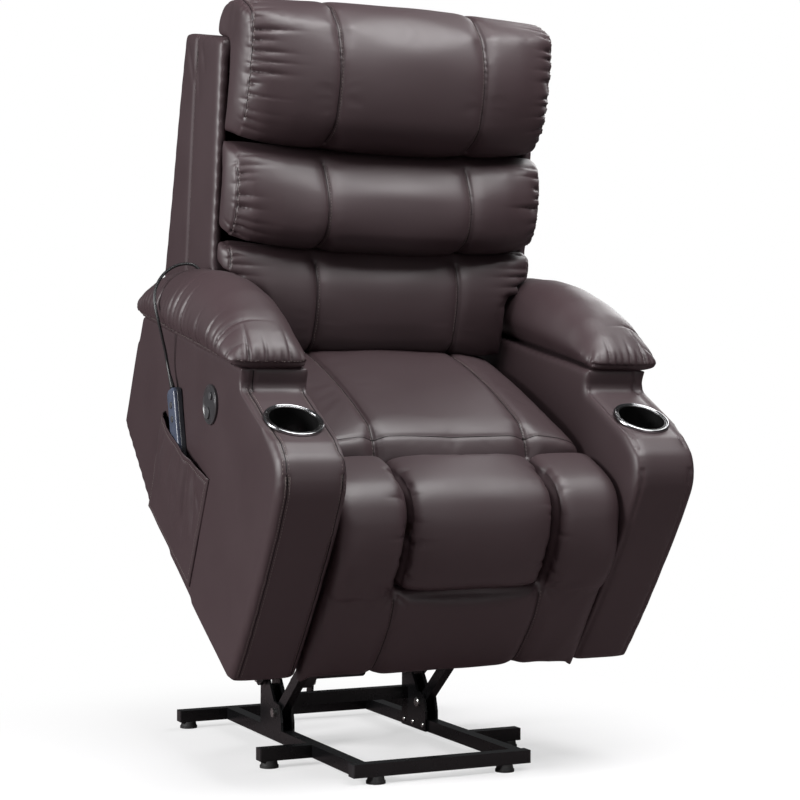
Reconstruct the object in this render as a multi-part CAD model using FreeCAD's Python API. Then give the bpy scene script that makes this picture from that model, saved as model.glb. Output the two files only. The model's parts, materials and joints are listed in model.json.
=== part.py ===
import FreeCAD, Part
import math
import os

# Lift recliner chair in bonded leather on a black tube base, in millimetres.
# +Z is up, the chair faces -Y and the origin is on the floor under the middle of the chair.
# At rest the lift is raised: the base stands on the floor and the chair is tipped forwards on it.
# Base pieces are drawn where they stand. Chair pieces are drawn level in the chair's own axes,
# whose origin is the front bottom corner of the arms: y runs back, z runs up; tip() raises them.

os.makedirs("parts", exist_ok=True)

V = FreeCAD.Vector
X_AXIS = V(1, 0, 0)

# Clearances
SOFT_GAP = 0.3          # between soft pieces and their neighbours
RUN_GAP = 1.0           # between links and the plates that they turn beside
PIN_FIT = 0.15          # between a pin and its bore
SLIDE_GAP = 0.4         # round a button in its case

# Cushions
END_STEPS = 6           # sections from a cushion's middle to its end
SEAM_W = 22.0           # reach of a sewn seam's valley to each side
SEAM_SINK = 6.0         # depth of that valley

# Raised pose of the chair
TILT = 29.0             # forward tip of the raised chair, degrees
CORNER_Y = -235.8       # front bottom corner of the arms when raised
CORNER_Z = 204.7

# Base frame
BASE_MID_Y = 109.0      # middle of the base frame
BASE_HALF = 371.0       # half the base's length along Y
TUBE = 25.0             # square base tube
TUBE_WALL = 2.0
FOOT_H = 14.0
FOOT_R = 17.0
FOOT_FLARE = 1.5
FOOT_LIP = 5.0
RAIL_X = 165.0          # middle of each side rail
FRONT_BAR_HALF = 183.0
REAR_BAR_HALF = 282.0
OUTRIGGER_HALF = REAR_BAR_HALF    # the outriggers reach as far as the rear bar
OUTRIGGER_Y = -133.5    # from the base's middle
FRONT_FOOT_X = 135.5
FOOT_INSET = 20.0       # from the bar ends to the middle of the feet
SIDE_FOOT_X = REAR_BAR_HALF - FOOT_INSET
CAP_T = 3.0             # plastic tube caps
CAP_EDGE = 1.0

# Lift linkage. Base pivots are given from the base's middle, chair pivots in chair axes.
REAR_PIVOT = (121.0, 136.0)       # rear link on the riser
FRONT_PIVOT = (58.0, 72.0)        # front link on the riser
CHAIR_REAR_PIVOT = (181.0, 85.0)
CHAIR_FRONT_PIVOT = (140.5, 55.0)
PLATE = 5.0             # riser plates and lift ears
LINK_BAR = 8.0          # thickness of the rear link bars
LINK_BAR_W = 32.0
FRONT_LINK_W = 18.0
FRONT_LINK_H = 25.0
LIFT_PIN_R = 6.0
BOLT_HEAD_R = 10.0
BOLT_HEAD_T = 6.0
OPEN_PIVOT_SLACK = 3.2  # the front link's upper pivot is the open one of the four-bar
CROSS_TUBE_Z = 86.0
FIXING_STEPS = (-24.0, 25.0, 68.0)  # bolts through the side rails, from the front pivot

# Lift actuator, on the middle plane
CLEVIS_STEP = 26.0                # the rear clevis' pin, ahead of the base's rear edge
ACT_PIVOT = (BASE_HALF - CLEVIS_STEP, 86.0)   # rear clevis, from the base's middle
ACT_CHAIR_PIVOT = (330.0, 140.0)  # rod end, chair axes
ACT_TUBE_R = 14.0
ACT_ROD_R = 9.0
ACT_STROKE = 125.0
ACT_BODY_HALF = 16.0    # half the width of the gearbox
MOTOR_R = 24.0
MOTOR_LEN = 112.0
MOTOR_AHEAD = 52.0      # motor axis ahead of the rear clevis
EAR_GAP = 0.6           # beside the gearbox and the rod eye
ROD_EYE_HALF = 11.0
SLOT_DEPTH = 17.5       # lost motion of the rod pin in its slot
SLOT_ANGLE = 225.0      # direction of the slot in chair axes
SLOT_SLACK = 2.6        # round the rod pin in its slot

# Lift frame under the seat, chair axes
LIFT_RAIL_X = 210.0
LIFT_RAIL_Z = 150.0
LIFT_FRONT_Y = 140.5
LIFT_REAR_Y = 575.0
CROSS_Z = 175.0         # cross tubes that lie on the lift rails

# Side plates and seat frame, chair axes
SIDE_PLATE_X = 262.0    # inner face
SPACER_Y = (190.0, 500.0)         # blocks between the side plates and the arms
SPACER_L = 60.0
SPACER_H = 40.0
SIDE_PLATE_T = 4.0
SEAT_FRAME_Z = 262.0    # underside of the seat rails
SEAT_DECK_Z = 300.0     # top of the seat rails
SEAT_FRONT_Y = 145.0
SEAT_REAR_Y = 580.0
RAIL_W = 20.0
STRAP_W = 50.0
STRAP_T = 3.0
STRAP_COUNT = 5

# Arms, chair axes
ARM_IN = 288.0
ARM_OUT = 420.0
ARM_DECK_Z = 488.0
ARM_DECK_REAR = 208.0
FASCIA_H = 40.0
ARM_REAR_Y = 801.0
ARM_REAR_TOP = 342.0
ARM_REAR_BOTTOM = 86.0
ARM_EDGE_R = 16.0

# Arm pads
PAD_IN = 290.0
PAD_OUT = 450.0

# Cup holders
CUP_X = 355.0
CUP_Y = 95.0
CUP_BORE_R = 44.5
CUP_WALL = 2.0
CUP_DEPTH = 80.0
CUP_RIM_R = 55.0
CUP_RIM_T = 5.0
CUP_FIT = 0.5

# Seat cushion
CUSHION_GAP = 4.0       # between the arms and the seat and footrest cushions
SEAT_HALF = ARM_IN - CUSHION_GAP
SEAT_NOSE_Y = 137.0
SEAT_END_Y = 588.0
SEAT_NOSE_Z = 410.0
SEAT_TAIL_Z = 374.0
SEAT_SEAM_X = 158.0

# Footrest, chair axes, folded
BOARD_Y = 10.0          # front face of the board
BOARD_T = 15.0
BOARD_LOW = 22.0
BOARD_TOP = 330.0
FOOT_SEAM_X = 149.0     # between the columns of the footrest pad
FOOT_SEAM_Z = 205.0     # top of the lower band
FOOT_PAD_HALF = ARM_IN - CUSHION_GAP
FOOT_FRONT_Y = -56.0

# Footrest linkage, chair axes
SWING_PIVOT = (100.0, 255.0)
SWING_LEN = 225.0
SWING_REST = 124.0      # angle of the folded swing links below the forward horizontal, degrees
ARM_SLOPE = 34.0        # slope of the footrest arms above the horizontal
FOOT_LINK_W = 22.0
FOOT_LINK_T = 5.0
GUIDE_STEP = 60.0       # from the swing pivot to the guide pivot, along the arm's slope
FOOT_PIN_R = 5.0
SWING_X = 255.0         # inner face of the swing links
ARM_LINK_X = 248.0
GUIDE_X = 241.0
HINGE_T = 4.0           # footrest hinge plates
HINGE_HALF = 60.0
FLANGE_W = 24.0         # their flanges on the board
FLANGE_T = 3.0
DRIVE_TUBE_R = 11.0

# Backrest, chair axes
RECLINE_PIVOT = (611.0, 315.0)
BACK_HALF = 351.0
SHELL_FRONT_LOW = (639.0, 534.0)
SHELL_FRONT_TOP = (799.0, 943.0)
SHELL_REAR_TOP = (1016.0, 877.0)
SHELL_REAR_LOW = (912.0, 381.0)
SHELL_WALL = 24.0
SHELL_EDGE_R = 10.0
BACK_SEAM_X = 155.0
LOWER_HALF = ARM_IN - 1.5 * CUSHION_GAP   # lower cushion between the arms
LOWER_LOW = 392.0       # underside of the lower cushion
LOWER_END_LOW = 562.0   # underside of its short ends beside the arms
VALLEY_LOW = 592.0      # valley between the lower and the middle cushion
VALLEY_HIGH = 772.0     # valley between the middle and the head cushion
HEAD_TOP = 1042.0
HEAD_DEPTH = 108.0      # depths of the cushions ahead of the shell's front line
MIDDLE_DEPTH = 100.0
LOWER_DEPTH = 46.0
BACK_CLEAR = 0.6        # behind the back cushions
UPRIGHT_X = 245.0       # inner face of the back's uprights
BACK_TUBE = 25.0
BACK_PIN_R = 7.0
HINGE_LUG_R = 18.0
BACK_BOARD_T = 12.0
BACK_BOARD_Y = 36.0     # behind the shell's front edge
BLOCK_Z = (600.0, 820.0)          # blocks between the uprights and the shell
BLOCK_DEPTH = 40.0
BLOCK_H = 45.0

# Side pocket, control plate and handset on the left arm
POCKET_Y0 = 267.0
POCKET_Y1 = 560.0
POCKET_BOTTOM = 24.0
POCKET_TOP_FRONT = 265.0
POCKET_TOP_REAR = 247.0
POCKET_WALL = 2.0
POCKET_FLAT = 5.0       # depth of the pocket where it lies on the arm
POCKET_BELLY_Z = 170.0  # above this the handset bellies the pocket out
POCKET_BELLY = [        # share of the width from the front, depth
    (0.0, 5.0), (0.24, 14.0), (0.38, 21.5), (0.74, 21.5), (0.88, 16.0), (1.0, 9.0)]
PLATE_Y = 327.0
PLATE_Z = 391.0
PLATE_R = 37.5
PLATE_T = 5.0
PLATE_STAND = 18.0      # from the plate's middle to each button
SMALL_KEY_R = 7.0
LARGE_KEY_R = 11.0
KEY_PROUD = 2.0
HANDSET_TOP = (511.0, 324.0)
HANDSET_ANGLE = 46.0    # slope of the handset, top to the rear
HANDSET_LEN = 160.0
HANDSET_W = 44.0
HANDSET_T = 16.0
HANDSET_SIDE = 2.5      # from the arm's side to the handset
HANDSET_KEY_R = 6.5
HANDSET_KEYS = (34.0, 62.0)   # along the handset from its top

# Handset cable: outer diameter, and its route in chair axes (distance from the middle plane, y, z)
CABLE_D = 6.0
RELIEF_LEN = 26.0
CABLE_ROUTE = [
    (433.0, 534.8, 337.6), (434.0, 553.0, 348.5), (438.0, 567.0, 372.0), (447.0, 577.0, 401.0),
    (455.0, 589.0, 429.0), (460.5, 607.0, 451.0), (460.0, 627.0, 469.0), (452.0, 643.0, 487.0),
    (437.0, 652.0, 506.0), (416.0, 655.0, 520.0), (395.0, 651.0, 527.0), (378.0, 642.0, 527.0),
    (366.0, 634.0, 514.0),
]


# Helpers

def tip(shape):
    """Raises a piece drawn in chair axes to its place at rest."""
    moved = shape.copy()
    moved.rotate(V(0, 0, 0), X_AXIS, TILT)
    moved.translate(V(0, CORNER_Y, CORNER_Z))
    return moved


def mirrored(shape):
    return shape.mirror(V(0, 0, 0), X_AXIS)


def box(x0, x1, y0, y1, z0, z1):
    return Part.makeBox(x1 - x0, y1 - y0, z1 - z0, V(x0, y0, z0))


def prism(x0, x1, outline):
    """A plate with an outline of (y, z) points, between two planes of x."""
    points = [V(x0, y, z) for y, z in outline]
    face = Part.Face(Part.makePolygon(points + points[:1]))
    return face.extrude(V(x1 - x0, 0, 0))


def rod_x(x0, x1, centre, radius):
    """A round bar along X at a (y, z) centre."""
    return Part.makeCylinder(radius, x1 - x0, V(x0, centre[0], centre[1]), X_AXIS)


def square_tube(x0, x1, y0, y1, z0, z1, along):
    """A square tube, hollow and open along one axis."""
    w = TUBE_WALL
    inset = {"x": (0, w, w), "y": (w, 0, w), "z": (w, w, 0)}[along]
    outer = box(x0, x1, y0, y1, z0, z1)
    inner = box(x0 + inset[0], x1 - inset[0], y0 + inset[1], y1 - inset[1], z0 + inset[2], z1 - inset[2])
    return outer.cut(inner)


def cross_tube(half, centre):
    """A square tube along X at a (y, z) centre."""
    y, z = centre
    return square_tube(-half, half, y - TUBE / 2, y + TUBE / 2, z - TUBE / 2, z + TUBE / 2, "x")


def polar(origin, angle, length):
    """A (y, z) point at an angle from +Y towards +Z, in degrees."""
    a = math.radians(angle)
    return (origin[0] + length * math.cos(a), origin[1] + length * math.sin(a))


def heading(start, end):
    return math.degrees(math.atan2(end[1] - start[1], end[0] - start[0]))


def distance(start, end):
    return math.hypot(end[0] - start[0], end[1] - start[1])


def link_bar(x0, x1, start, end, width, bore_r):
    """A flat bar with round ends and a bore at each pivot."""
    a = heading(start, end)
    r = width / 2
    side = [polar(start, a + 90, r), polar(end, a + 90, r), polar(end, a - 90, r), polar(start, a - 90, r)]
    tips = [polar(start, a + 180, r), polar(end, a, r)]
    p = [V(x0, y, z) for y, z in side]
    t = [V(x0, y, z) for y, z in tips]
    edges = [
        Part.LineSegment(p[0], p[1]).toShape(), Part.Arc(p[1], t[1], p[2]).toShape(),
        Part.LineSegment(p[2], p[3]).toShape(), Part.Arc(p[3], t[0], p[0]).toShape(),
    ]
    bar = Part.Face(Part.Wire(edges)).extrude(V(x1 - x0, 0, 0))
    for centre in (start, end):
        bar = bar.cut(rod_x(x0 - 1, x1 + 1, centre, bore_r))
    return bar


def profile(x, corners):
    """A closed wire at x, drawn low rear, low front, high front, high rear.

    Each corner is (y, z, bulge): bulge bows the edge that leaves the corner outwards.
    """
    edges = []
    for i, (y, z, bulge) in enumerate(corners):
        y2, z2, _ = corners[(i + 1) % len(corners)]
        start, end = V(x, y, z), V(x, y2, z2)
        if bulge == 0:
            edges.append(Part.LineSegment(start, end).toShape())
            continue
        length = math.hypot(y2 - y, z2 - z)
        middle = V(x, (y + y2) / 2 - bulge * (z2 - z) / length, (z + z2) / 2 + bulge * (y2 - y) / length)
        edges.append(Part.Arc(start, middle, end).toShape())
    return Part.Wire(edges)


def mix(middle, edge, share):
    """A value that goes from a cushion's middle to its edge."""
    return middle + (edge - middle) * share


def padded(section, middle, half, seam=None):
    """A cushion lofted across X: section(x, fall, sunk) draws its side view.

    fall grows from 0 at the middle to 1 at the ends, slowly and then fast, which draws the ends in.
    sunk is 1 on a sewn seam, which lies that far from the middle on both sides, and 0 elsewhere.
    """
    steps = [half * math.sin(math.radians(90.0 * k / END_STEPS)) for k in range(END_STEPS + 1)]
    if seam is not None:
        steps = [x for x in steps if abs(x - seam) > 1.5 * SEAM_W] + [seam - SEAM_W, seam, seam + SEAM_W]
    offsets = sorted([-x for x in steps if x > 0] + steps)
    wires = []
    for x in offsets:
        fall = 1.0 - math.sqrt(max(0.0, 1.0 - (abs(x) / half) ** 4))
        wires.append(section(middle + x, fall, 1 if abs(x) == seam else 0))
    return Part.makeLoft(wires, True, True)


nodes = {}


def keep(name, shape):
    nodes[name] = shape


def keep_pair(name, shape):
    """Keeps a piece drawn on the +X side, and its mirror image, as a pair of nodes."""
    keep(name + "_right", shape)
    keep(name + "_left", mirrored(shape))


def keep_both(name, *shapes):
    """Keeps pieces drawn on the +X side, and their mirror images, as one node of separate solids."""
    keep(name, Part.makeCompound([s for shape in shapes for s in (shape, mirrored(shape))]))


# Base frame

BAR_Z0 = FOOT_H
BAR_Z1 = FOOT_H + TUBE
FRONT_Y = BASE_MID_Y - BASE_HALF
REAR_Y = BASE_MID_Y + BASE_HALF
RAIL_IN = RAIL_X - TUBE / 2
RAIL_OUT = RAIL_X + TUBE / 2
OUTRIGGER_MID = BASE_MID_Y + OUTRIGGER_Y


def on_base(point):
    return (BASE_MID_Y + point[0], point[1])


def base_frame():
    keep("base_front_bar", square_tube(
        -FRONT_BAR_HALF, FRONT_BAR_HALF, FRONT_Y, FRONT_Y + TUBE, BAR_Z0, BAR_Z1, "x"))
    keep("base_rear_bar", square_tube(
        -REAR_BAR_HALF, REAR_BAR_HALF, REAR_Y - TUBE, REAR_Y, BAR_Z0, BAR_Z1, "x"))
    keep_both("base_side_rails", square_tube(
        RAIL_IN, RAIL_OUT, FRONT_Y + TUBE, REAR_Y - TUBE, BAR_Z0, BAR_Z1, "y"))
    keep_both("base_outriggers", square_tube(
        RAIL_OUT, OUTRIGGER_HALF, OUTRIGGER_MID - TUBE / 2, OUTRIGGER_MID + TUBE / 2, BAR_Z0, BAR_Z1, "x"))


def tube_cap(x, y_mid):
    """A plastic plug that closes a tube end which faces +X."""
    head = box(x, x + CAP_T, y_mid - TUBE / 2, y_mid + TUBE / 2, BAR_Z0, BAR_Z1)
    outer = [e for e in head.Edges if min(v.X for v in e.Vertexes) > x + CAP_T / 2]
    head = head.makeFillet(CAP_EDGE, outer)
    plug = TUBE / 2 - TUBE_WALL
    mid_z = (BAR_Z0 + BAR_Z1) / 2
    return head.fuse(box(x - 4 * CAP_T, x, y_mid - plug, y_mid + plug, mid_z - plug, mid_z + plug))


def base_caps():
    right = [
        tube_cap(FRONT_BAR_HALF, FRONT_Y + TUBE / 2),
        tube_cap(REAR_BAR_HALF, REAR_Y - TUBE / 2),
        tube_cap(OUTRIGGER_HALF, OUTRIGGER_MID),
    ]
    keep_both("base_tube_caps", *right)


def foot(x, y):
    """A round glide with a flared rubber lip."""
    lip = Part.makeCylinder(FOOT_R + FOOT_FLARE, FOOT_LIP, V(x, y, 0))
    stem = Part.makeCone(FOOT_R, FOOT_R - FOOT_FLARE, FOOT_H - FOOT_LIP, V(x, y, FOOT_LIP))
    return lip.fuse(stem)


def base_feet():
    places = [
        (FRONT_FOOT_X, FRONT_Y + TUBE / 2), (SIDE_FOOT_X, OUTRIGGER_MID), (SIDE_FOOT_X, REAR_Y - TUBE / 2)]
    keep("base_feet", Part.makeCompound([foot(side * x, y) for x, y in places for side in (1, -1)]))


# Risers that carry the lift links

RISER_IN = RAIL_IN - PLATE
LINK_SLOT_OUT = RAIL_IN + FRONT_LINK_W + 2 * RUN_GAP
RISER_OUT = LINK_SLOT_OUT + PLATE
REAR_LINK_X = RISER_OUT + RUN_GAP + 3.0


def riser_outline(foot_z):
    """The riser's side: a foot on the rail, a raked front edge and a rounded-off apex."""
    front, rear = on_base(FRONT_PIVOT), on_base(REAR_PIVOT)
    return [
        (front[0] - 36, foot_z), (front[0] - 36, front[1] - 16), (front[0] - 26, front[1] + 18),
        (front[0] + 4, front[1] + 22), (rear[0] - 20, rear[1] + 10), (rear[0] - 10, rear[1] + 20),
        (rear[0] + 8, rear[1] + 20), (rear[0] + 18, rear[1] + 10), (rear[0] + 20, foot_z),
    ]


def riser():
    rear = on_base(REAR_PIVOT)
    inner = prism(RISER_IN, RAIL_IN, riser_outline(BAR_Z0))
    outer = prism(LINK_SLOT_OUT, RISER_OUT, riser_outline(BAR_Z1))
    post = square_tube(RAIL_IN, LINK_SLOT_OUT, rear[0] - TUBE / 2, rear[0] + TUBE / 2,
                       BAR_Z1, rear[1] - LINK_BAR_W / 2, "z")
    body = inner.fuse(outer).fuse(post)
    for pivot in (on_base(FRONT_PIVOT), rear):
        body = body.cut(rod_x(RISER_IN - 1, RISER_OUT + 1, pivot, LIFT_PIN_R + PIN_FIT))
    return body


def bolt(x0, x1, centre):
    """A shouldered bolt along X with a domed head and a nut."""
    head = rod_x(x0 - BOLT_HEAD_T, x0, centre, BOLT_HEAD_R)
    outer = [e for e in head.Edges if e.CenterOfMass.x < x0 - BOLT_HEAD_T + 0.1]
    head = head.makeChamfer(BOLT_HEAD_T / 3, outer)
    angles = [60 * k for k in range(6)]
    nut = prism(x1, x1 + BOLT_HEAD_T, [polar(centre, a, BOLT_HEAD_R) for a in angles])
    return head.fuse(rod_x(x0, x1, centre, LIFT_PIN_R)).fuse(nut)


def small_bolt(x, y, z):
    """A dome-headed fixing bolt on a face that looks towards -X."""
    dome = rod_x(x - 3.0, x, (y, z), 5.5)
    return dome.makeChamfer(1.5, [e for e in dome.Edges if e.CenterOfMass.x < x - 2.9])


def risers():
    keep_pair("riser", riser())
    keep("riser_cross_tube", cross_tube(RISER_IN, (BASE_MID_Y + REAR_PIVOT[0], CROSS_TUBE_Z)))
    pins = [
        bolt(RISER_IN, RISER_OUT, on_base(FRONT_PIVOT)),
        bolt(RISER_IN, REAR_LINK_X + LINK_BAR, on_base(REAR_PIVOT)),
    ]
    y0 = BASE_MID_Y + FRONT_PIVOT[0]
    fixings = [small_bolt(RISER_IN, y0 + step, BAR_Z0 + TUBE / 2) for step in FIXING_STEPS]
    ear_out = ACT_BODY_HALF + EAR_GAP + PLATE
    keep_both("base_bolts", *pins, *fixings)
    clevis_bolt = bolt(-ear_out, ear_out, on_base(ACT_PIVOT))
    nodes["base_bolts"] = Part.makeCompound([nodes["base_bolts"], clevis_bolt])


# Lift links

def on_chair(point):
    """A chair-axes (y, z) point at its place at rest."""
    a = math.radians(TILT)
    y, z = point
    return (CORNER_Y + y * math.cos(a) - z * math.sin(a), CORNER_Z + y * math.sin(a) + z * math.cos(a))


def lift_links():
    rear = link_bar(REAR_LINK_X, REAR_LINK_X + LINK_BAR, on_base(REAR_PIVOT), on_chair(CHAIR_REAR_PIVOT),
                    LINK_BAR_W, LIFT_PIN_R + PIN_FIT)
    keep_both("rear_lift_links", rear)
    x0 = RAIL_IN + RUN_GAP
    x1 = x0 + FRONT_LINK_W
    start, end = on_base(FRONT_PIVOT), on_chair(CHAIR_FRONT_PIVOT)
    front = link_bar(x0, x1, start, end, FRONT_LINK_H, LIFT_PIN_R + PIN_FIT)
    front = front.cut(link_bar(x0 + TUBE_WALL, x1 - TUBE_WALL, polar(start, heading(start, end), 24),
                               polar(end, heading(end, start), 24), FRONT_LINK_H - 2 * TUBE_WALL, 0.5))
    keep_both("front_lift_links", front, bolt(FRONT_EAR_IN - RUN_GAP - 2, FRONT_EAR_OUT + RUN_GAP + 2, end))


# Lift frame under the seat

FRONT_EAR_IN = RAIL_IN - PLATE
FRONT_EAR_OUT = LINK_SLOT_OUT + PLATE
LIFT_RAIL_IN = LIFT_RAIL_X - TUBE / 2
LIFT_RAIL_OUT = LIFT_RAIL_X + TUBE / 2


def lift_frame():
    half = TUBE / 2
    y0 = LIFT_FRONT_Y - half
    y1 = LIFT_REAR_Y + half
    rail = square_tube(LIFT_RAIL_IN, LIFT_RAIL_OUT, y0, y1, LIFT_RAIL_Z - half, LIFT_RAIL_Z + half, "y")
    y, z = CHAIR_REAR_PIVOT
    ear = prism(LIFT_RAIL_IN - PLATE, LIFT_RAIL_IN, [
        (y - 18, z - 12), (y - 10, z - 18), (y + 10, z - 18), (y + 18, z - 12),
        (y + 26, LIFT_RAIL_Z + half), (y - 26, LIFT_RAIL_Z + half)])
    ear = ear.cut(rod_x(0, LIFT_RAIL_X, CHAIR_REAR_PIVOT, LIFT_PIN_R + PIN_FIT))
    side = tip(rail.fuse(ear))
    rear = tip(cross_tube(SIDE_PLATE_X, (LIFT_REAR_Y, CROSS_Z)))
    keep("lift_frame", Part.makeCompound([side, mirrored(side), rear]))
    front = cross_tube(LIFT_RAIL_IN, (LIFT_FRONT_Y, LIFT_RAIL_Z))
    y, z = CHAIR_FRONT_PIVOT
    for x in (FRONT_EAR_IN, LINK_SLOT_OUT):
        plate = prism(x, x + PLATE, [
            (y - 17, z - 10), (y - 10, z - 17), (y + 10, z - 17), (y + 17, z - 10),
            (LIFT_FRONT_Y + half, LIFT_RAIL_Z - half), (LIFT_FRONT_Y - half, LIFT_RAIL_Z - half)])
        plate = plate.cut(rod_x(0, LIFT_RAIL_X, CHAIR_FRONT_PIVOT, LIFT_PIN_R + OPEN_PIVOT_SLACK))
        front = front.fuse(plate).fuse(mirrored(plate))
    keep("lift_front_cross_tube", tip(front))


def chair_pins():
    """The pins that stay with the chair: rear links, footrest linkage and recline hinges."""
    plate_out = SIDE_PLATE_X + SIDE_PLATE_T
    pins = [
        bolt(REAR_LINK_X - RUN_GAP, LIFT_RAIL_IN, CHAIR_REAR_PIVOT),
        foot_pin(SWING_X, plate_out, SWING_PIVOT),
        foot_pin(GUIDE_X, plate_out, guide_pivot()),
        rod_x(UPRIGHT_X, plate_out, RECLINE_PIVOT, BACK_PIN_R),
    ]
    keep_both("chair_pins", *[tip(p) for p in pins])


# Lift actuator

def actuator():
    pivot, rod_end = on_base(ACT_PIVOT), on_chair(ACT_CHAIR_PIVOT)
    angle = heading(pivot, rod_end)
    reach = distance(pivot, rod_end)
    axis = V(0, math.cos(math.radians(angle)), math.sin(math.radians(angle)))

    def along(length):
        y, z = polar(pivot, angle, length)
        return V(0, y, z)

    ear_y, ear_z = pivot
    ears = None
    for x in (ACT_BODY_HALF + EAR_GAP, -ACT_BODY_HALF - EAR_GAP - PLATE):
        ear = prism(x, x + PLATE, [
            (REAR_Y - TUBE - 8, BAR_Z1), (REAR_Y, BAR_Z1), (ear_y + 13, ear_z + 8), (ear_y + 6, ear_z + 14),
            (ear_y - 6, ear_z + 14), (ear_y - 13, ear_z + 8)])
        ear = ear.cut(rod_x(-60, 60, pivot, LIFT_PIN_R + PIN_FIT))
        ears = ear if ears is None else ears.fuse(ear)
    half = ACT_BODY_HALF + EAR_GAP
    bridge = box(-half, half, REAR_Y - TUBE, REAR_Y, BAR_Z1, BAR_Z1 + PLATE)
    keep("actuator_clevis", ears.fuse(bridge))

    gearbox = box(-ACT_BODY_HALF, ACT_BODY_HALF, 0, MOTOR_AHEAD + 38, -20, 20)
    across = [e for e in gearbox.Edges if abs(e.tangentAt(e.FirstParameter).x) > 0.9]
    gearbox = gearbox.makeFillet(6.0, across)
    gearbox = gearbox.fuse(rod_x(-ACT_BODY_HALF, ACT_BODY_HALF, (0, 0), 13.0))
    gearbox.rotate(V(0, 0, 0), X_AXIS, angle)
    gearbox.translate(V(0, pivot[0], pivot[1]))
    gearbox = gearbox.cut(rod_x(-60, 60, pivot, LIFT_PIN_R + PIN_FIT))
    motor_at = polar(pivot, angle, MOTOR_AHEAD)
    motor = rod_x(ACT_BODY_HALF, ACT_BODY_HALF + MOTOR_LEN, motor_at, MOTOR_R)
    motor = motor.makeFillet(3.0, [e for e in motor.Edges if e.CenterOfMass.x > MOTOR_LEN])
    keep("actuator_gearbox", gearbox)
    keep("actuator_motor", motor)

    tube_start = MOTOR_AHEAD + 38
    tube_end = reach - ACT_STROKE - 42
    tube = Part.makeCylinder(ACT_TUBE_R, tube_end - tube_start, along(tube_start), axis)
    collar = Part.makeCylinder(ACT_TUBE_R + 3, 16, along(tube_end - 16), axis)
    bore = Part.makeCylinder(ACT_ROD_R + PIN_FIT, tube_end - tube_start - 10, along(tube_start + 10), axis)
    keep("actuator_tube", tube.fuse(collar).cut(bore))
    rod = Part.makeCylinder(ACT_ROD_R, reach - tube_end + 20, along(tube_end - 36), axis)
    eye = rod_x(-ROD_EYE_HALF, ROD_EYE_HALF, rod_end, 14.0)
    rod = rod.fuse(eye).cut(rod_x(-60, 60, rod_end, LIFT_PIN_R + PIN_FIT))
    keep("actuator_rod", rod)
    ear_out = ROD_EYE_HALF + EAR_GAP + PLATE
    keep("rod_pin", bolt(-ear_out - RUN_GAP, ear_out + RUN_GAP, rod_end))

    y, z = ACT_CHAIR_PIVOT
    slot_end = polar((y, z), SLOT_ANGLE, SLOT_DEPTH)
    clevis = cross_tube(SIDE_PLATE_X, (y, CROSS_Z))
    for x in (ROD_EYE_HALF + EAR_GAP, -ROD_EYE_HALF - EAR_GAP - PLATE):
        plate = prism(x, x + PLATE, [
            (y - 30, z - 22), (y - 20, z - 30), (y + 4, z - 20), (y + 18, z),
            (y + 18, CROSS_Z - TUBE / 2), (y - 26, CROSS_Z - TUBE / 2)])
        for share in (0.0, 0.5, 1.0):
            at = (y + share * (slot_end[0] - y), z + share * (slot_end[1] - z))
            plate = plate.cut(rod_x(-60, 60, at, LIFT_PIN_R + SLOT_SLACK))
        groove = link_bar(-60, 60, (y, z), slot_end, 2 * (LIFT_PIN_R + SLOT_SLACK), 0.2)
        plate = plate.cut(groove)
        clevis = clevis.fuse(plate)
    keep("actuator_cross_tube", tip(clevis))


# Side plates, seat frame and webbing

def side_plates():
    sy, sz = SWING_PIVOT
    gy, gz = guide_pivot()
    hy, hz = RECLINE_PIVOT
    outline = [
        (sy - 18, sz - 6), (sy - 12, sz + 16), (SEAT_FRONT_Y, SEAT_DECK_Z), (hy - 24, SEAT_DECK_Z),
        (hy - 16, hz + 14), (hy + 10, hz + 16), (hy + 18, hz), (hy + 10, CROSS_Z - 30),
        (LIFT_REAR_Y - 30, CROSS_Z - 40), (ACT_CHAIR_PIVOT[0] - 30, CROSS_Z - 40),
        (gy + 6, gz - 24), (sy + 6, sz - 20),
    ]
    plate = prism(SIDE_PLATE_X, SIDE_PLATE_X + SIDE_PLATE_T, outline)
    x0 = SIDE_PLATE_X + SIDE_PLATE_T
    pins = ((SWING_PIVOT, FOOT_PIN_R), (guide_pivot(), FOOT_PIN_R), (RECLINE_PIVOT, BACK_PIN_R))
    for centre, radius in pins:
        plate = plate.cut(rod_x(SIDE_PLATE_X - 1, x0 + 1, centre, radius + PIN_FIT))
    spacers = [box(x0, ARM_IN, y, y + SPACER_L, CROSS_Z, CROSS_Z + SPACER_H) for y in SPACER_Y]
    keep_both("side_plates", tip(plate), *[tip(s) for s in spacers])


def seat_frame():
    x = SIDE_PLATE_X
    front = box(-x, x, SEAT_FRONT_Y, SEAT_FRONT_Y + RAIL_W, SEAT_FRAME_Z, SEAT_DECK_Z)
    rear = box(-x, x, SEAT_REAR_Y - RAIL_W, SEAT_REAR_Y, SEAT_FRAME_Z, SEAT_DECK_Z)
    side = box(x - RAIL_W, x, SEAT_FRONT_Y + RAIL_W, SEAT_REAR_Y - RAIL_W, SEAT_FRAME_Z, SEAT_DECK_Z)
    keep("seat_frame", tip(Part.makeCompound([front, rear, side, mirrored(side)])))
    pitch = 2 * (x - STRAP_W) / (STRAP_COUNT - 1)
    straps = []
    for k in range(STRAP_COUNT):
        mid = (k - (STRAP_COUNT - 1) / 2) * pitch
        straps.append(box(mid - STRAP_W / 2, mid + STRAP_W / 2, SEAT_FRONT_Y, SEAT_REAR_Y,
                          SEAT_DECK_Z, SEAT_DECK_Z + STRAP_T))
    keep("seat_webbing", tip(Part.makeCompound(straps)))


# Seat cushion: crowned, with the sewn seams as shallow valleys and drawn-in ends

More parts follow.
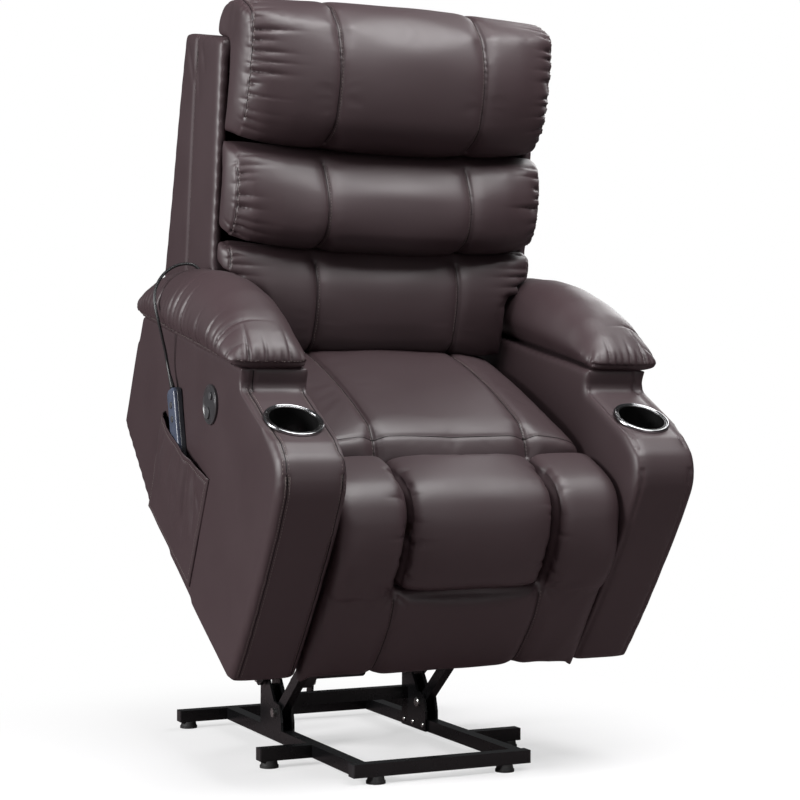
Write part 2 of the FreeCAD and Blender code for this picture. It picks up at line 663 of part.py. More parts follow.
def seat_section(x, fall, sunk):
    inset = 8.0 * fall
    drop = mix(-8.0, 26.0, fall) + SEAM_SINK * sunk
    low = SEAT_DECK_Z + STRAP_T + SOFT_GAP + inset
    return profile(x, [
        (SEAT_NOSE_Y + inset, low, 0), (SEAT_NOSE_Y + inset, SEAT_NOSE_Z - 30 - drop, 8),
        (SEAT_NOSE_Y + 26, SEAT_NOSE_Z - drop, mix(16.0, 3.0, fall)),
        (SEAT_END_Y - inset, SEAT_TAIL_Z - drop, 0), (SEAT_END_Y - inset, low, 0),
    ])


def seat_cushion():
    keep("seat_cushion", tip(padded(seat_section, 0.0, SEAT_HALF, SEAT_SEAM_X)))


# Arms, arm pads and cup holders

def arm():
    x0 = ARM_IN
    p = [V(x0, y, z) for y, z in (
        (-2, -5), (-31, 170), (-46, 340), (-47, 405), (-36, 450), (-10, 478), (22, ARM_DECK_Z),
        (ARM_DECK_REAR, ARM_DECK_Z), (ARM_DECK_REAR + 6, ARM_DECK_Z + FASCIA_H),
        (ARM_REAR_Y - 8, ARM_REAR_TOP),
        (ARM_REAR_Y, ARM_REAR_BOTTOM), (559, 24), (500, 12), (253, 0))]
    edges = [
        Part.Arc(p[0], p[1], p[2]).toShape(), Part.LineSegment(p[2], p[3]).toShape(),
        Part.Arc(p[3], p[4], p[5]).toShape(), Part.LineSegment(p[5], p[6]).toShape(),
    ]
    for i in range(6, len(p)):
        edges.append(Part.LineSegment(p[i], p[(i + 1) % len(p)]).toShape())
    body = Part.Face(Part.Wire(edges)).extrude(V(ARM_OUT - ARM_IN, 0, 0))
    rounded = [e for e in body.Edges
               if max(v.X for v in e.Vertexes) - min(v.X for v in e.Vertexes) < 1
               and max(v.Y for v in e.Vertexes) < 23 and max(v.Z for v in e.Vertexes) < ARM_DECK_Z + 1
               and e.Length > 20]
    body = body.makeFillet(ARM_EDGE_R, rounded)
    well = Part.makeCylinder(CUP_BORE_R + CUP_WALL + CUP_FIT, CUP_DEPTH + CUP_WALL + CUP_FIT + 1,
                             V(CUP_X, CUP_Y, ARM_DECK_Z - CUP_DEPTH - CUP_WALL - CUP_FIT))
    return body.cut(well)


def pad_base(y):
    """Height of the arm's sloping top at y."""
    y0, z0 = ARM_DECK_REAR + 6, ARM_DECK_Z + FASCIA_H
    return z0 + (y - y0) * (ARM_REAR_TOP - z0) / (ARM_REAR_Y - 8 - y0)


def pad_section(y, height, pull_in, pull_out):
    """A domed section of the arm pad: flat below, steep inside, round over the top and outside."""
    base = pad_base(y) + SOFT_GAP
    x0, x1 = PAD_IN + pull_in, PAD_OUT - pull_out
    crown_x = x0 + 0.46 * (x1 - x0)
    mid_z = base + 0.42 * height
    rise = height - 0.42 * height

    def at(x, z):
        return V(x, y, z)

    inner_via = at(crown_x - 0.74 * (crown_x - x0), mid_z + 0.72 * rise)
    outer_via = at(crown_x + 0.70 * (x1 - crown_x), mid_z + 0.68 * rise)
    return Part.Wire([
        Part.LineSegment(at(x0 + 4, base), at(x0, mid_z)).toShape(),
        Part.Arc(at(x0, mid_z), inner_via, at(crown_x, base + height)).toShape(),
        Part.Arc(at(crown_x, base + height), outer_via, at(x1, mid_z)).toShape(),
        Part.LineSegment(at(x1, mid_z), at(x1 - 8, base)).toShape(),
        Part.LineSegment(at(x1 - 8, base), at(x0 + 4, base)).toShape(),
    ])


def arms():
    keep_pair("arm", tip(arm()))
    stations = [
        (ARM_DECK_REAR + 2, 16, 4, 10), (228, 38, 2, 5), (262, 64, 1, 2), (320, 98, 0, 0), (390, 124, 0, 0),
        (470, 138, 0, 0), (550, 140, 0, 0), (640, 130, 3, 2), (715, 112, 8, 4),
        (772, 76, 12, 8), (796, 34, 18, 14)]
    keep_pair("arm_pad", tip(Part.makeLoft([pad_section(*s) for s in stations], True, True)))


def cup_holder():
    """A turned cup with a rolled double rim, in the arm's deck."""
    bore, wall, rim = CUP_BORE_R, CUP_BORE_R + CUP_WALL, CUP_RIM_R
    floor, top = -CUP_DEPTH, CUP_RIM_T
    points = [
        (0, floor - CUP_WALL), (wall, floor - CUP_WALL), (wall, 0), (rim, 0), (rim, top * 0.4),
        (rim - 3, top * 0.9), (rim - 5, top * 0.55), (bore + 4, top * 0.55), (bore + 2, top),
        (bore, top * 0.6), (bore, floor), (0, floor)]
    wire = Part.makePolygon([V(r, 0, z) for r, z in points + points[:1]])
    cup = Part.Face(wire).revolve(V(0, 0, 0), V(0, 0, 1), 360)
    cup.translate(V(CUP_X, CUP_Y, ARM_DECK_Z))
    return cup


# Footrest: linkage, board and pleated pad

def elbow():
    return polar(SWING_PIVOT, SWING_REST - 180.0, SWING_LEN)


def guide_pivot():
    return polar(SWING_PIVOT, -ARM_SLOPE, GUIDE_STEP)


def foot_hinge():
    return polar(elbow(), 180.0 - ARM_SLOPE, SWING_LEN)


def foot_pin(x0, x1, centre):
    return rod_x(x0, x1, centre, FOOT_PIN_R)


def footrest_links():
    t = FOOT_LINK_T
    bore = FOOT_PIN_R + PIN_FIT
    swing = link_bar(SWING_X, SWING_X + t, SWING_PIVOT, elbow(), FOOT_LINK_W, bore)
    keep_both("footrest_swing_links", tip(swing))
    guide_end = polar(elbow(), -ARM_SLOPE, GUIDE_STEP)
    guide = link_bar(GUIDE_X, GUIDE_X + t, guide_pivot(), guide_end, FOOT_LINK_W, bore)
    keep_both("footrest_guide_links", tip(guide))
    arm_bar = link_bar(ARM_LINK_X, ARM_LINK_X + t, guide_end, foot_hinge(), FOOT_LINK_W, bore)
    arm_bar = arm_bar.cut(rod_x(0, SIDE_PLATE_X, elbow(), bore))
    keep("footrest_drive_tube", tip(rod_x(-SWING_X, SWING_X, SWING_PIVOT, DRIVE_TUBE_R)))
    pins = [
        foot_pin(ARM_LINK_X, SWING_X + t, elbow()),
        foot_pin(GUIDE_X, ARM_LINK_X + t, guide_end),
        foot_pin(ARM_LINK_X, SWING_X + HINGE_T, foot_hinge()),
    ]
    keep_both("footrest_arms", tip(arm_bar), *[tip(p) for p in pins])


def footrest_board():
    board = box(-FOOT_PAD_HALF + 8, FOOT_PAD_HALF - 8, BOARD_Y, BOARD_Y + BOARD_T, BOARD_LOW, BOARD_TOP)
    keep("footrest_board", tip(board))
    hy, hz = foot_hinge()
    back = BOARD_Y + BOARD_T
    bracket = prism(SWING_X, SWING_X + HINGE_T, [
        (back, hz - HINGE_HALF), (back, hz + HINGE_HALF), (hy + 4, hz + 13), (hy + 13, hz + 4),
        (hy + 13, hz - 6), (hy + 4, hz - 13)])
    flange = box(SWING_X - FLANGE_W, SWING_X, back, back + FLANGE_T, hz - HINGE_HALF, hz + HINGE_HALF)
    bracket = bracket.fuse(flange).cut(rod_x(0, SIDE_PLATE_X, (hy, hz), FOOT_PIN_R + PIN_FIT))
    keep_both("footrest_hinges", tip(bracket))


def column_section(x, fall, sunk):
    """A side view of one footrest column above the lower band."""
    back = BOARD_Y - SOFT_GAP
    top_z = SEAT_NOSE_Z - 6
    shelf = BOARD_TOP + SOFT_GAP
    draw = 24.0 * fall
    front = FOOT_FRONT_Y + draw
    return profile(x, [
        (back, FOOT_SEAM_Z + SOFT_GAP, 0), (front + 8, FOOT_SEAM_Z + SOFT_GAP, mix(13.0, 4.0, fall)),
        (front + 14, top_z - 62, 12), (30, top_z - draw * 0.8, 3), (SEAT_NOSE_Y - 9, top_z - 3 - draw, 0),
        (SEAT_NOSE_Y - 9, top_z - 38, 0), (BOARD_Y + 34, shelf, 0), (back, shelf, 0),
    ])


def lower_section(x, fall, sunk):
    back = BOARD_Y - SOFT_GAP
    front = FOOT_FRONT_Y + 22.0 * fall + SEAM_SINK * sunk
    return profile(x, [
        (back, 1, 2), (front + 44, -1, mix(9.0, 3.0, fall)),
        (front + 8, FOOT_SEAM_Z, 0), (back, FOOT_SEAM_Z, 0),
    ])


def footrest_pad():
    keep("footrest_pad_middle", tip(padded(column_section, 0.0, FOOT_SEAM_X - SOFT_GAP / 2)))
    side_half = (FOOT_PAD_HALF - FOOT_SEAM_X - SOFT_GAP / 2) / 2
    keep_pair("footrest_pad_side", tip(padded(column_section, FOOT_PAD_HALF - side_half, side_half)))
    keep("footrest_pad_lower", tip(padded(lower_section, 0.0, FOOT_PAD_HALF, FOOT_SEAM_X)))


# Backrest

def shell_front_y(z):
    """The shell's front edge, and its line carried on, at height z."""
    (y0, z0), (y1, z1) = SHELL_FRONT_LOW, SHELL_FRONT_TOP
    return y0 + (z - z0) * (y1 - y0) / (z1 - z0)


def back_shell():
    outline = [SHELL_FRONT_LOW, SHELL_FRONT_TOP, SHELL_REAR_TOP, SHELL_REAR_LOW]
    outer = prism(-BACK_HALF, BACK_HALF, outline)
    outer = outer.makeFillet(SHELL_EDGE_R, [
        e for e in outer.Edges
        if abs(abs(e.CenterOfMass.x) - BACK_HALF) < 1 and e.CenterOfMass.y > 860 and e.Length > 300])
    w = SHELL_WALL
    (fy0, fz0), (fy1, fz1), (ry1, rz1), (ry0, rz0) = outline
    cavity = prism(-BACK_HALF + w, BACK_HALF - w, [
        (fy0 - 30, fz0 + w + 20), (fy1 - 30, fz1 - w + 6), (ry1 - w, rz1 - w), (ry0 - w, rz0 + w + 6)])
    slot = box(-LOWER_HALF, LOWER_HALF, fy0 - 60, fy0 + 130, fz0 - 150, fz0 + w + 60)
    keep("back_shell", tip(outer.cut(cavity).cut(slot)))


def back_frame():
    hy, hz = RECLINE_PIVOT
    x0, x1 = UPRIGHT_X, SIDE_PLATE_X - RUN_GAP
    low = (shell_front_y(hz) + 34, hz - 22)
    top = (shell_front_y(880) + 34, 880)
    upright = prism(x0, x1, [
        (hy - HINGE_LUG_R, hz - 6), (hy - 8, hz - HINGE_LUG_R), (hy + 26, hz - HINGE_LUG_R),
        (low[0] + 34, low[1] + 40), (top[0] + BACK_TUBE, top[1]), top, (shell_front_y(480) + 24, 480),
        (hy - HINGE_LUG_R + 2, hz + 12)])
    upright = upright.cut(rod_x(0, SIDE_PLATE_X, RECLINE_PIVOT, BACK_PIN_R + PIN_FIT))
    z0, z1 = 420.0, 870.0
    board = prism(-x0, x0, [
        (shell_front_y(z0) + BACK_BOARD_Y, z0), (shell_front_y(z1) + BACK_BOARD_Y, z1),
        (shell_front_y(z1) + BACK_BOARD_Y + BACK_BOARD_T, z1),
        (shell_front_y(z0) + BACK_BOARD_Y + BACK_BOARD_T, z0)])
    keep("back_board", tip(board))
    blocks = []
    for z in BLOCK_Z:
        y = shell_front_y(z) + BLOCK_DEPTH
        blocks.append(box(x1, BACK_HALF - SHELL_WALL, y, y + BLOCK_DEPTH, z, z + BLOCK_H))
    keep_both("back_uprights", tip(upright), *[tip(b) for b in blocks])


def cushion_profile(x, low, high, depth_low, depth_high, swell, rise):
    """A back cushion: its back on the shell's front line, its face swelling forwards."""
    back_low, back_high = shell_front_y(low) - BACK_CLEAR, shell_front_y(high) - BACK_CLEAR
    return profile(x, [
        (back_low, low, 0), (back_low - depth_low, low + 4, swell),
        (back_high - depth_high, high - 4 + rise, 1), (back_high, high, 0),
    ])


def head_section(x, fall, sunk):
    """The head cushion: it overhangs the valley below and rolls over the shell's top."""
    shell_y, shell_z = SHELL_FRONT_TOP
    depth = mix(HEAD_DEPTH, 42.0, fall) - SEAM_SINK * sunk
    top = mix(HEAD_TOP, HEAD_TOP - 16, fall) - SEAM_SINK * sunk / 2
    reach = mix(72.0, 64.0, fall)
    slope = (SHELL_REAR_TOP[1] - shell_z) / (SHELL_REAR_TOP[0] - shell_y)
    roof = shell_z + BACK_CLEAR
    return profile(x, [
        (shell_front_y(VALLEY_HIGH) - BACK_CLEAR, VALLEY_HIGH, 1),
        (shell_front_y(VALLEY_HIGH) - depth, VALLEY_HIGH + 14, mix(28.0, 14.0, fall)),
        (shell_front_y(VALLEY_HIGH) - depth + 62, top - 12, 14), (shell_y + reach - 4, top - 40, 10),
        (shell_y + reach, roof + slope * reach, 0), (shell_y - BACK_CLEAR, roof, 0),
    ])


def middle_section(x, fall, sunk):
    sink = SEAM_SINK * sunk
    return cushion_profile(
        x, mix(VALLEY_LOW, VALLEY_LOW + 12, fall), VALLEY_HIGH - 2 - 8 * fall,
        mix(MIDDLE_DEPTH, 24.0, fall) - sink, mix(MIDDLE_DEPTH + 12, 34.0, fall) - sink,
        mix(26.0, 12.0, fall), mix(7.0, 0.0, fall))


def low_section(x, fall, sunk):
    sink = SEAM_SINK * sunk
    return cushion_profile(
        x, mix(LOWER_LOW, LOWER_LOW + 14, fall), VALLEY_LOW - 0.4 - 6 * fall,
        mix(LOWER_DEPTH, 14.0, fall) - sink, mix(LOWER_DEPTH + 36, 34.0, fall) - sink,
        mix(26.0, 10.0, fall), mix(5.0, 0.0, fall))


def end_section(x, fall, sunk):
    """The lower cushion's short ends, which show over the arms beside the valley."""
    return cushion_profile(x, LOWER_END_LOW + 4 * fall, VALLEY_LOW - 2 - 4 * fall, mix(34.0, 18.0, fall),
                           mix(36.0, 20.0, fall), mix(6.0, 4.0, fall), 0.0)


def back_cushions():
    keep("head_cushion", tip(padded(head_section, 0.0, BACK_HALF - 12, BACK_SEAM_X)))
    keep("middle_cushion", tip(padded(middle_section, 0.0, BACK_HALF - 4, BACK_SEAM_X)))
    keep("lower_cushion", tip(padded(low_section, 0.0, LOWER_HALF - 2, BACK_SEAM_X)))
    end_half = (BACK_HALF - 18 - LOWER_HALF) / 2
    keep_both("lower_cushion_ends", tip(padded(end_section, LOWER_HALF + end_half, end_half - SOFT_GAP)))


# Side pocket, control plate and handset, drawn on the +X side and mirrored to the left arm

def pocket_section(y, depth, wall):
    """The pocket at y, seen from the front, inside the given wall."""
    share = (y - POCKET_Y0) / (POCKET_Y1 - POCKET_Y0)
    top = POCKET_TOP_FRONT + share * (POCKET_TOP_REAR - POCKET_TOP_FRONT) + (5 * wall if wall else 0)
    low, x0 = POCKET_BOTTOM + 3 * wall, ARM_OUT
    return Part.makePolygon([V(x, y, z) for x, z in (
        (x0, low), (x0 + POCKET_FLAT - wall, low), (x0 + depth - wall, POCKET_BELLY_Z),
        (x0 + depth - wall, top), (x0, top), (x0, low))])


def side_pocket():
    """A flat patch pocket that the handset bellies out: an outer loft less an inner one open at the top."""
    span = POCKET_Y1 - POCKET_Y0
    edge = 3 * POCKET_WALL
    outer = [pocket_section(POCKET_Y0 + share * span, depth, 0.0) for share, depth in POCKET_BELLY]
    inner = []
    for share, depth in POCKET_BELLY:
        y = min(max(POCKET_Y0 + share * span, POCKET_Y0 + edge), POCKET_Y1 - edge)
        inner.append(pocket_section(y, depth, POCKET_WALL))
    pocket = Part.makeLoft(outer, True, True).cut(Part.makeLoft(inner, True, True))
    keep("side_pocket", tip(mirrored(pocket)))


def control_plate():
    x0 = ARM_OUT
    centre = (PLATE_Y, PLATE_Z)
    plate = rod_x(x0, x0 + PLATE_T, centre, PLATE_R)
    plate = plate.makeFillet(1.5, [e for e in plate.Edges if e.CenterOfMass.x > x0 + PLATE_T - 0.1])
    keys = (("plate_key_small", PLATE_STAND, SMALL_KEY_R), ("plate_key_large", -PLATE_STAND, LARGE_KEY_R))
    for name, offset, radius in keys:
        at = (PLATE_Y, PLATE_Z + offset)
        plate = plate.cut(rod_x(x0 + 1, x0 + PLATE_T + 1, at, radius + SLIDE_GAP))
        key = rod_x(x0 + 1 + KEY_PROUD, x0 + PLATE_T + KEY_PROUD, at, radius)
        rim = [e for e in key.Edges if e.CenterOfMass.x > x0 + PLATE_T + KEY_PROUD - 0.1]
        key = key.makeFillet(1.0, rim)
        keep(name, tip(mirrored(key)))
    keep("control_plate", tip(mirrored(plate)))


def handset_point(along, across=0.0):
    """A (y, z) point on the handset, measured down from its top and across its face."""
    at = polar(HANDSET_TOP, 180.0 + HANDSET_ANGLE, along)
    return polar(at, 90.0 + HANDSET_ANGLE, across)


def handset():
    x0 = ARM_OUT + HANDSET_SIDE
    x1 = x0 + HANDSET_T
    half = HANDSET_W / 2
    body = prism(x0, x1, [handset_point(0, -half), handset_point(0, half),
                          handset_point(HANDSET_LEN, half), handset_point(HANDSET_LEN, -half)])
    corners = [e for e in body.Edges if e.BoundBox.XLength > HANDSET_T / 2]
    body = body.makeFillet(14.0, corners)
    rim = [e for e in body.Edges if min(v.X for v in e.Vertexes) > x1 - 0.1]
    body = body.makeFillet(4.0, rim)
    for name, along in zip(("handset_key_up", "handset_key_down"), HANDSET_KEYS):
        at = handset_point(along)
        body = body.cut(rod_x(x1 - 5, x1 + 5, at, HANDSET_KEY_R + SLIDE_GAP))
        key = rod_x(x1 - 5 + KEY_PROUD, x1 + KEY_PROUD * 0.75, at, HANDSET_KEY_R)
        key = key.makeFillet(1.0, [e for e in key.Edges if e.CenterOfMass.x > x1 + 0.9])
        keep(name, tip(mirrored(key)))
    keep("handset", tip(mirrored(body)))


# Handset cable

def cable_path(points):
    """Straight runs joined by tangent arcs, each as large as its two runs allow; returns wire and radii."""
    edges, radii = [], []
    last = points[0]
    for i in range(1, len(points) - 1):
        before, corner, after = points[i - 1], points[i], points[i + 1]
        a, b = before - corner, after - corner
        shorter = min(a.Length, b.Length)
        turn = math.pi - a.getAngle(b)
        back = 0.45 * shorter
        radii.append(back / math.tan(turn / 2))
        a.normalize()
        b.normalize()
        start, end = corner + a * back, corner + b * back
        bisector = a + b
        bisector.normalize()
        centre_far = radii[-1] / math.cos(turn / 2)
        via = corner + bisector * (centre_far - radii[-1])
        edges.append(Part.LineSegment(last, start).toShape())
        edges.append(Part.Arc(start, via, end).toShape())
        last = end
    edges.append(Part.LineSegment(last, points[-1]).toShape())
    return Part.Wire(edges), radii


def handset_cable():
    route = [V(x, y, z) for x, y, z in CABLE_ROUTE]
    wire, radii = cable_path(route)
    start_dir = route[1] - route[0]
    circle = Part.Wire([Part.makeCircle(CABLE_D / 2, route[0], start_dir)])
    tube = wire.makePipeShell([circle], True, False)
    length = wire.Length
    expected = math.pi * CABLE_D ** 2 / 4 * length
    print("cable length %.1f mm, volume ratio %.4f, least radius %.1f mm" % (
        length, abs(tube.Volume) / expected, min(radii)))
    print("cable radii " + ", ".join("%.0f" % r for r in radii))
    keep("handset_cable", tip(mirrored(tube)))
    start_dir.normalize()
    top = route[0] - start_dir * RELIEF_LEN
    relief = Part.makeCone(CABLE_D / 2 + 2.2, CABLE_D / 2 + 0.6, RELIEF_LEN, top, start_dir)
    shell = nodes["handset"].copy()
    relief = tip(mirrored(relief)).cut(shell)
    keep("strain_relief", relief)


base_frame()
base_caps()
base_feet()
risers()
lift_links()
lift_frame()
chair_pins()
actuator()
side_plates()
seat_frame()
seat_cushion()
arms()
keep_pair("cup_holder", tip(cup_holder()))
footrest_links()
footrest_board()
footrest_pad()
back_shell()
back_frame()
back_cushions()
side_pocket()
control_plate()
handset()
handset_cable()

for name, shape in nodes.items():
    if not shape.isValid():
        print("not valid:", name)
    shape.exportStep("parts/%s.step" % name)
print(len(nodes), "nodes")
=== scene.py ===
# %% [markdown]
# # A lift recliner chair
# The chair stands on a black tube base. Its lift is raised, so the whole body is tipped forwards.
# The frame gives every hard part at its real size. Here each part gets its finish,
# and the leather, which the frame holds as plain solids, is sewn, padded and creased.

# %% Load the frame
import json
import math
import bmesh
import bpy
import numpy as np
from mathutils import Matrix, Vector, noise
from mathutils.bvhtree import BVHTree


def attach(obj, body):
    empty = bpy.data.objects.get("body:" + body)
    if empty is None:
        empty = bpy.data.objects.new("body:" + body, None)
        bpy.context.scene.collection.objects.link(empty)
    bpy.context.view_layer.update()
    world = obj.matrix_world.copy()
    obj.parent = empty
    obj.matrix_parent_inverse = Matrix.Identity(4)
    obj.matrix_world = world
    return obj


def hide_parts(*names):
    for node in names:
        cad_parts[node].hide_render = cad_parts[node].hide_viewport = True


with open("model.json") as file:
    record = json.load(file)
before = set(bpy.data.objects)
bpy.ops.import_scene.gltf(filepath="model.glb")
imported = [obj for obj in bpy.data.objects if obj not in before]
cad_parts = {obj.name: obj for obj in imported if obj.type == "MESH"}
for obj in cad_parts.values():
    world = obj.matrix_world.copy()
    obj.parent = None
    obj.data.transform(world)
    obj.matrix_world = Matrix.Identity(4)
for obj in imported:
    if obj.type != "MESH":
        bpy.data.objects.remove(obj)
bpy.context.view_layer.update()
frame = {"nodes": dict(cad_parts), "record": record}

scene = bpy.context.scene
scene.view_settings.view_transform = "Standard"

# %% [markdown]
# ## Level axes
# The raised chair leans 29 degrees forwards, and a sewing line is easier to think about on a level chair.
# So each leather piece is levelled, worked on with y running back and z up, and raised again at the end.

# %% Level the chair and raise it
TILT = math.radians(29.0)
FRONT_CORNER = Vector((0.0, -0.2358, 0.2047))   # front bottom corner of the arms, raised
RAISE = Matrix.Translation(FRONT_CORNER) @ Matrix.Rotation(TILT, 4, "X")
LEVEL = RAISE.inverted()
MM = 0.001


def deselect():
    if bpy.context.object and bpy.context.object.mode != "OBJECT":
        bpy.ops.object.mode_set(mode="OBJECT")
    bpy.ops.object.select_all(action="DESELECT")


def only(obj):
    """Makes one object the selected and active one."""
    deselect()
    obj.select_set(True)
    bpy.context.view_layer.objects.active = obj


def level_box(node):
    """The lowest and highest corner of a frame piece, in level axes."""
    points = [LEVEL @ v.co for v in frame["nodes"][node].data.vertices]
    low = Vector([min(p[i] for p in points) for i in range(3)])
    high = Vector([max(p[i] for p in points) for i in range(3)])
    return low, high


def raise_mesh(obj):
    obj.data.transform(RAISE)
    obj.data.update()


print("seat, level:", [tuple(round(c, 3) for c in p) for p in level_box("seat_cushion")])

# %% [markdown]
# ## Camera
# The camera's place comes from the photograph's own lines: it stands level, to the sitter's right,
# a little below the top of the arms. The horizon lies four pixels above the middle of the frame.

# %% Camera
PHOTO_SIDE = 800
FOCAL_PX = 1916.0
HORIZON_PX = 396.0
FILM_WIDTH = 36.0          # millimetres
CAMERA_AT = Vector((-1.586, -3.511, 0.721))
CAMERA_TURN = math.radians(-24.7)     # from looking straight at the chair's front

camera_data = bpy.data.cameras.new("photo_camera")
camera_data.sensor_fit = "HORIZONTAL"
camera_data.sensor_width = FILM_WIDTH
camera_data.lens = FOCAL_PX / PHOTO_SIDE * FILM_WIDTH
camera_data.shift_y = (HORIZON_PX - PHOTO_SIDE / 2) / PHOTO_SIDE
camera = bpy.data.objects.new("photo_camera", camera_data)
camera.location = CAMERA_AT
camera.rotation_euler = (math.radians(90.0), 0.0, CAMERA_TURN)
scene.collection.objects.link(camera)
scene.camera = camera
print("camera lens", round(camera_data.lens, 1), "mm")

# %% [markdown]
# ## Handset cable
# A soft round cable climbs from the handset over the arm pad and goes into the gap beside the back.
# A smooth spline through a few listed points reads as rubber. Straight runs would read as wire.

# %% Handset cable
CABLE_D = 0.006
CABLE_ROUTE = [   # distance from the middle plane, y, z in level axes, millimetres
    (433.0, 534.8, 337.6), (434.0, 553.0, 348.5), (438.0, 567.0, 372.0), (447.0, 577.0, 401.0),
    (455.0, 589.0, 429.0), (460.5, 607.0, 451.0), (460.0, 627.0, 469.0), (452.0, 643.0, 487.0),
    (437.0, 652.0, 506.0), (416.0, 655.0, 520.0), (395.0, 651.0, 527.0), (378.0, 642.0, 527.0),
    (366.0, 634.0, 514.0),
]


def route_point(out, y, z):
    """A point of the cable's route in place on the raised chair."""
    return RAISE @ (Vector((-out, y, z)) * MM)


cable_curve = bpy.data.curves.new("handset_cable_jacket", "CURVE")
cable_curve.dimensions = "3D"
spline = cable_curve.splines.new("NURBS")
spline.points.add(len(CABLE_ROUTE) - 1)
for point, spot in zip(spline.points, CABLE_ROUTE):
    point.co = route_point(*spot).to_4d()
    point.radius = CABLE_D / 2
spline.order_u = 3
spline.use_endpoint_u = True
spline.resolution_u = 12
cable_curve.bevel_depth = 1.0      # the points carry the radius
cable_curve.bevel_resolution = 4
cable_curve.use_fill_caps = True
cable = bpy.data.objects.new("handset_cable_jacket", cable_curve)
scene.collection.objects.link(cable)
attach(cable, "chair")
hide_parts("handset_cable")

# %% [markdown]
# ## Floor, background and light
# A white studio: a pale floor that keeps the shadow, and a white that only the camera and gloss see.
# The large soft lamps stand above, at the sitter's right and behind the left shoulder, and a weak one
# in front fills the shadows. The photograph's highlights lie on the tops, the near flank and the pads.

# %% Floor and backdrop
bpy.ops.mesh.primitive_plane_add(size=1.0, location=(0.0, 0.0, 0.0))
floor = bpy.context.object
floor.name = "studio_floor"
FLOOR_SIZE = 24.0
floor.data.transform(Matrix.Scale(FLOOR_SIZE, 4))
floor_paint = bpy.data.materials.new("floor_paint")
floor_paint.use_nodes = True
tree = floor_paint.node_tree
shader = tree.nodes["Principled BSDF"]
shader.inputs["Roughness"].default_value = 0.8
shader.inputs["Specular IOR Level"].default_value = 0.1
FLOOR_SEEN = (0.80, 0.79, 0.80, 1.0)
FLOOR_BOUNCE = (0.21, 0.165, 0.172, 1.0)   # what light bounces off: darker, so the undersides stay deep
FLOOR_CLEAR = (0.30, 1.20)     # the shadow stays inside the first radius, and pure white starts at the second
FLOOR_WHITE_NEAR = 0.55        # share of pure white inside the first radius
spot = tree.nodes.new("ShaderNodeTexCoord")
length = tree.nodes.new("ShaderNodeVectorMath")
length.operation = "LENGTH"
fade = tree.nodes.new("ShaderNodeMapRange")
fade.interpolation_type = "SMOOTHSTEP"
fade.inputs["From Min"].default_value, fade.inputs["From Max"].default_value = FLOOR_CLEAR
fade.inputs["To Min"].default_value = FLOOR_WHITE_NEAR
tone = tree.nodes.new("ShaderNodeMix")
tone.data_type = "RGBA"
tone.inputs["A"].default_value = FLOOR_BOUNCE
tone.inputs["B"].default_value = FLOOR_SEEN
white = tree.nodes.new("ShaderNodeEmission")
white.inputs["Color"].default_value = (1.0, 1.0, 1.0, 1.0)
path = tree.nodes.new("ShaderNodeLightPath")
both = tree.nodes.new("ShaderNodeMath")
both.operation = "MULTIPLY"
blend = tree.nodes.new("ShaderNodeMixShader")
tree.links.new(spot.outputs["Object"], length.inputs[0])
tree.links.new(length.outputs["Value"], fade.inputs["Value"])
tree.links.new(fade.outputs["Result"], both.inputs[0])
tree.links.new(path.outputs["Is Camera Ray"], both.inputs[1])
tree.links.new(path.outputs["Is Camera Ray"], tone.inputs["Factor"])
tree.links.new(tone.outputs["Result"], shader.inputs["Base Color"])
tree.links.new(both.outputs[0], blend.inputs["Fac"])
tree.links.new(shader.outputs[0], blend.inputs[1])
tree.links.new(white.outputs[0], blend.inputs[2])
tree.links.new(blend.outputs[0], tree.nodes["Material Output"].inputs["Surface"])
floor.data.materials.append(floor_paint)

world = bpy.data.worlds.new("studio")
scene.world = world
world.use_nodes = True
tree = world.node_tree
tree.nodes.clear()
output = tree.nodes.new("ShaderNodeOutputWorld")
seen = tree.nodes.new("ShaderNodeBackground")
seen.inputs["Color"].default_value = (1.0, 1.0, 1.0, 1.0)
ambient = tree.nodes.new("ShaderNodeBackground")
ambient.inputs["Color"].default_value = (0.95, 0.97, 1.0, 1.0)
WORLD_LEVEL = 0.07
ambient.inputs["Strength"].default_value = WORLD_LEVEL
path = tree.nodes.new("ShaderNodeLightPath")
either = tree.nodes.new("ShaderNodeMath")
either.operation = "MAXIMUM"
choice = tree.nodes.new("ShaderNodeMixShader")
tree.links.new(path.outputs["Is Camera Ray"], either.inputs[0])
tree.links.new(path.outputs["Is Transmission Ray"], either.inputs[1])
tree.links.new(either.outputs[0], choice.inputs["Fac"])
tree.links.new(ambient.outputs[0], choice.inputs[1])
tree.links.new(seen.outputs[0], choice.inputs[2])
tree.links.new(choice.outputs[0], output.inputs["Surface"])


# %% Lamps
def lamp(name, at, target, size, power):
    data = bpy.data.lights.new(name, "AREA")
    data.shape = "RECTANGLE"
    data.size, data.size_y = size
    data.energy = power
    obj = bpy.data.objects.new(name, data)
    obj.location = at
    aim = Vector(target) - Vector(at)
    obj.rotation_euler = aim.to_track_quat("-Z", "Y").to_euler()
    scene.collection.objects.link(obj)


lamp("overhead_box", (0.3, -1.4, 3.3), (0.0, -0.1, 0.9), (2.6, 1.5), 168.0)
lamp("left_box", (-3.6, -0.2, 1.85), (0.0, 0.1, 0.7), (1.6, 1.1), 186.0)
lamp("rear_right_box", (2.4, 1.6, 2.6), (0.1, 0.0, 1.0), (1.2, 2.0), 48.0)
lamp("front_fill", (0.6, -4.4, 1.2), (0.0, 0.0, 0.6), (2.6, 1.8), 24.0)

# %% [markdown]
# ## Effects that several finishes share
# Leather, plastic and paint all need a little unevenness, and each effect is built once as a group:
# `fine_grain` gives the pebble and the soft creases of coated leather as a height and a mask,
# `handling` gives the paler, rougher places where a surface has been touched or rubbed.

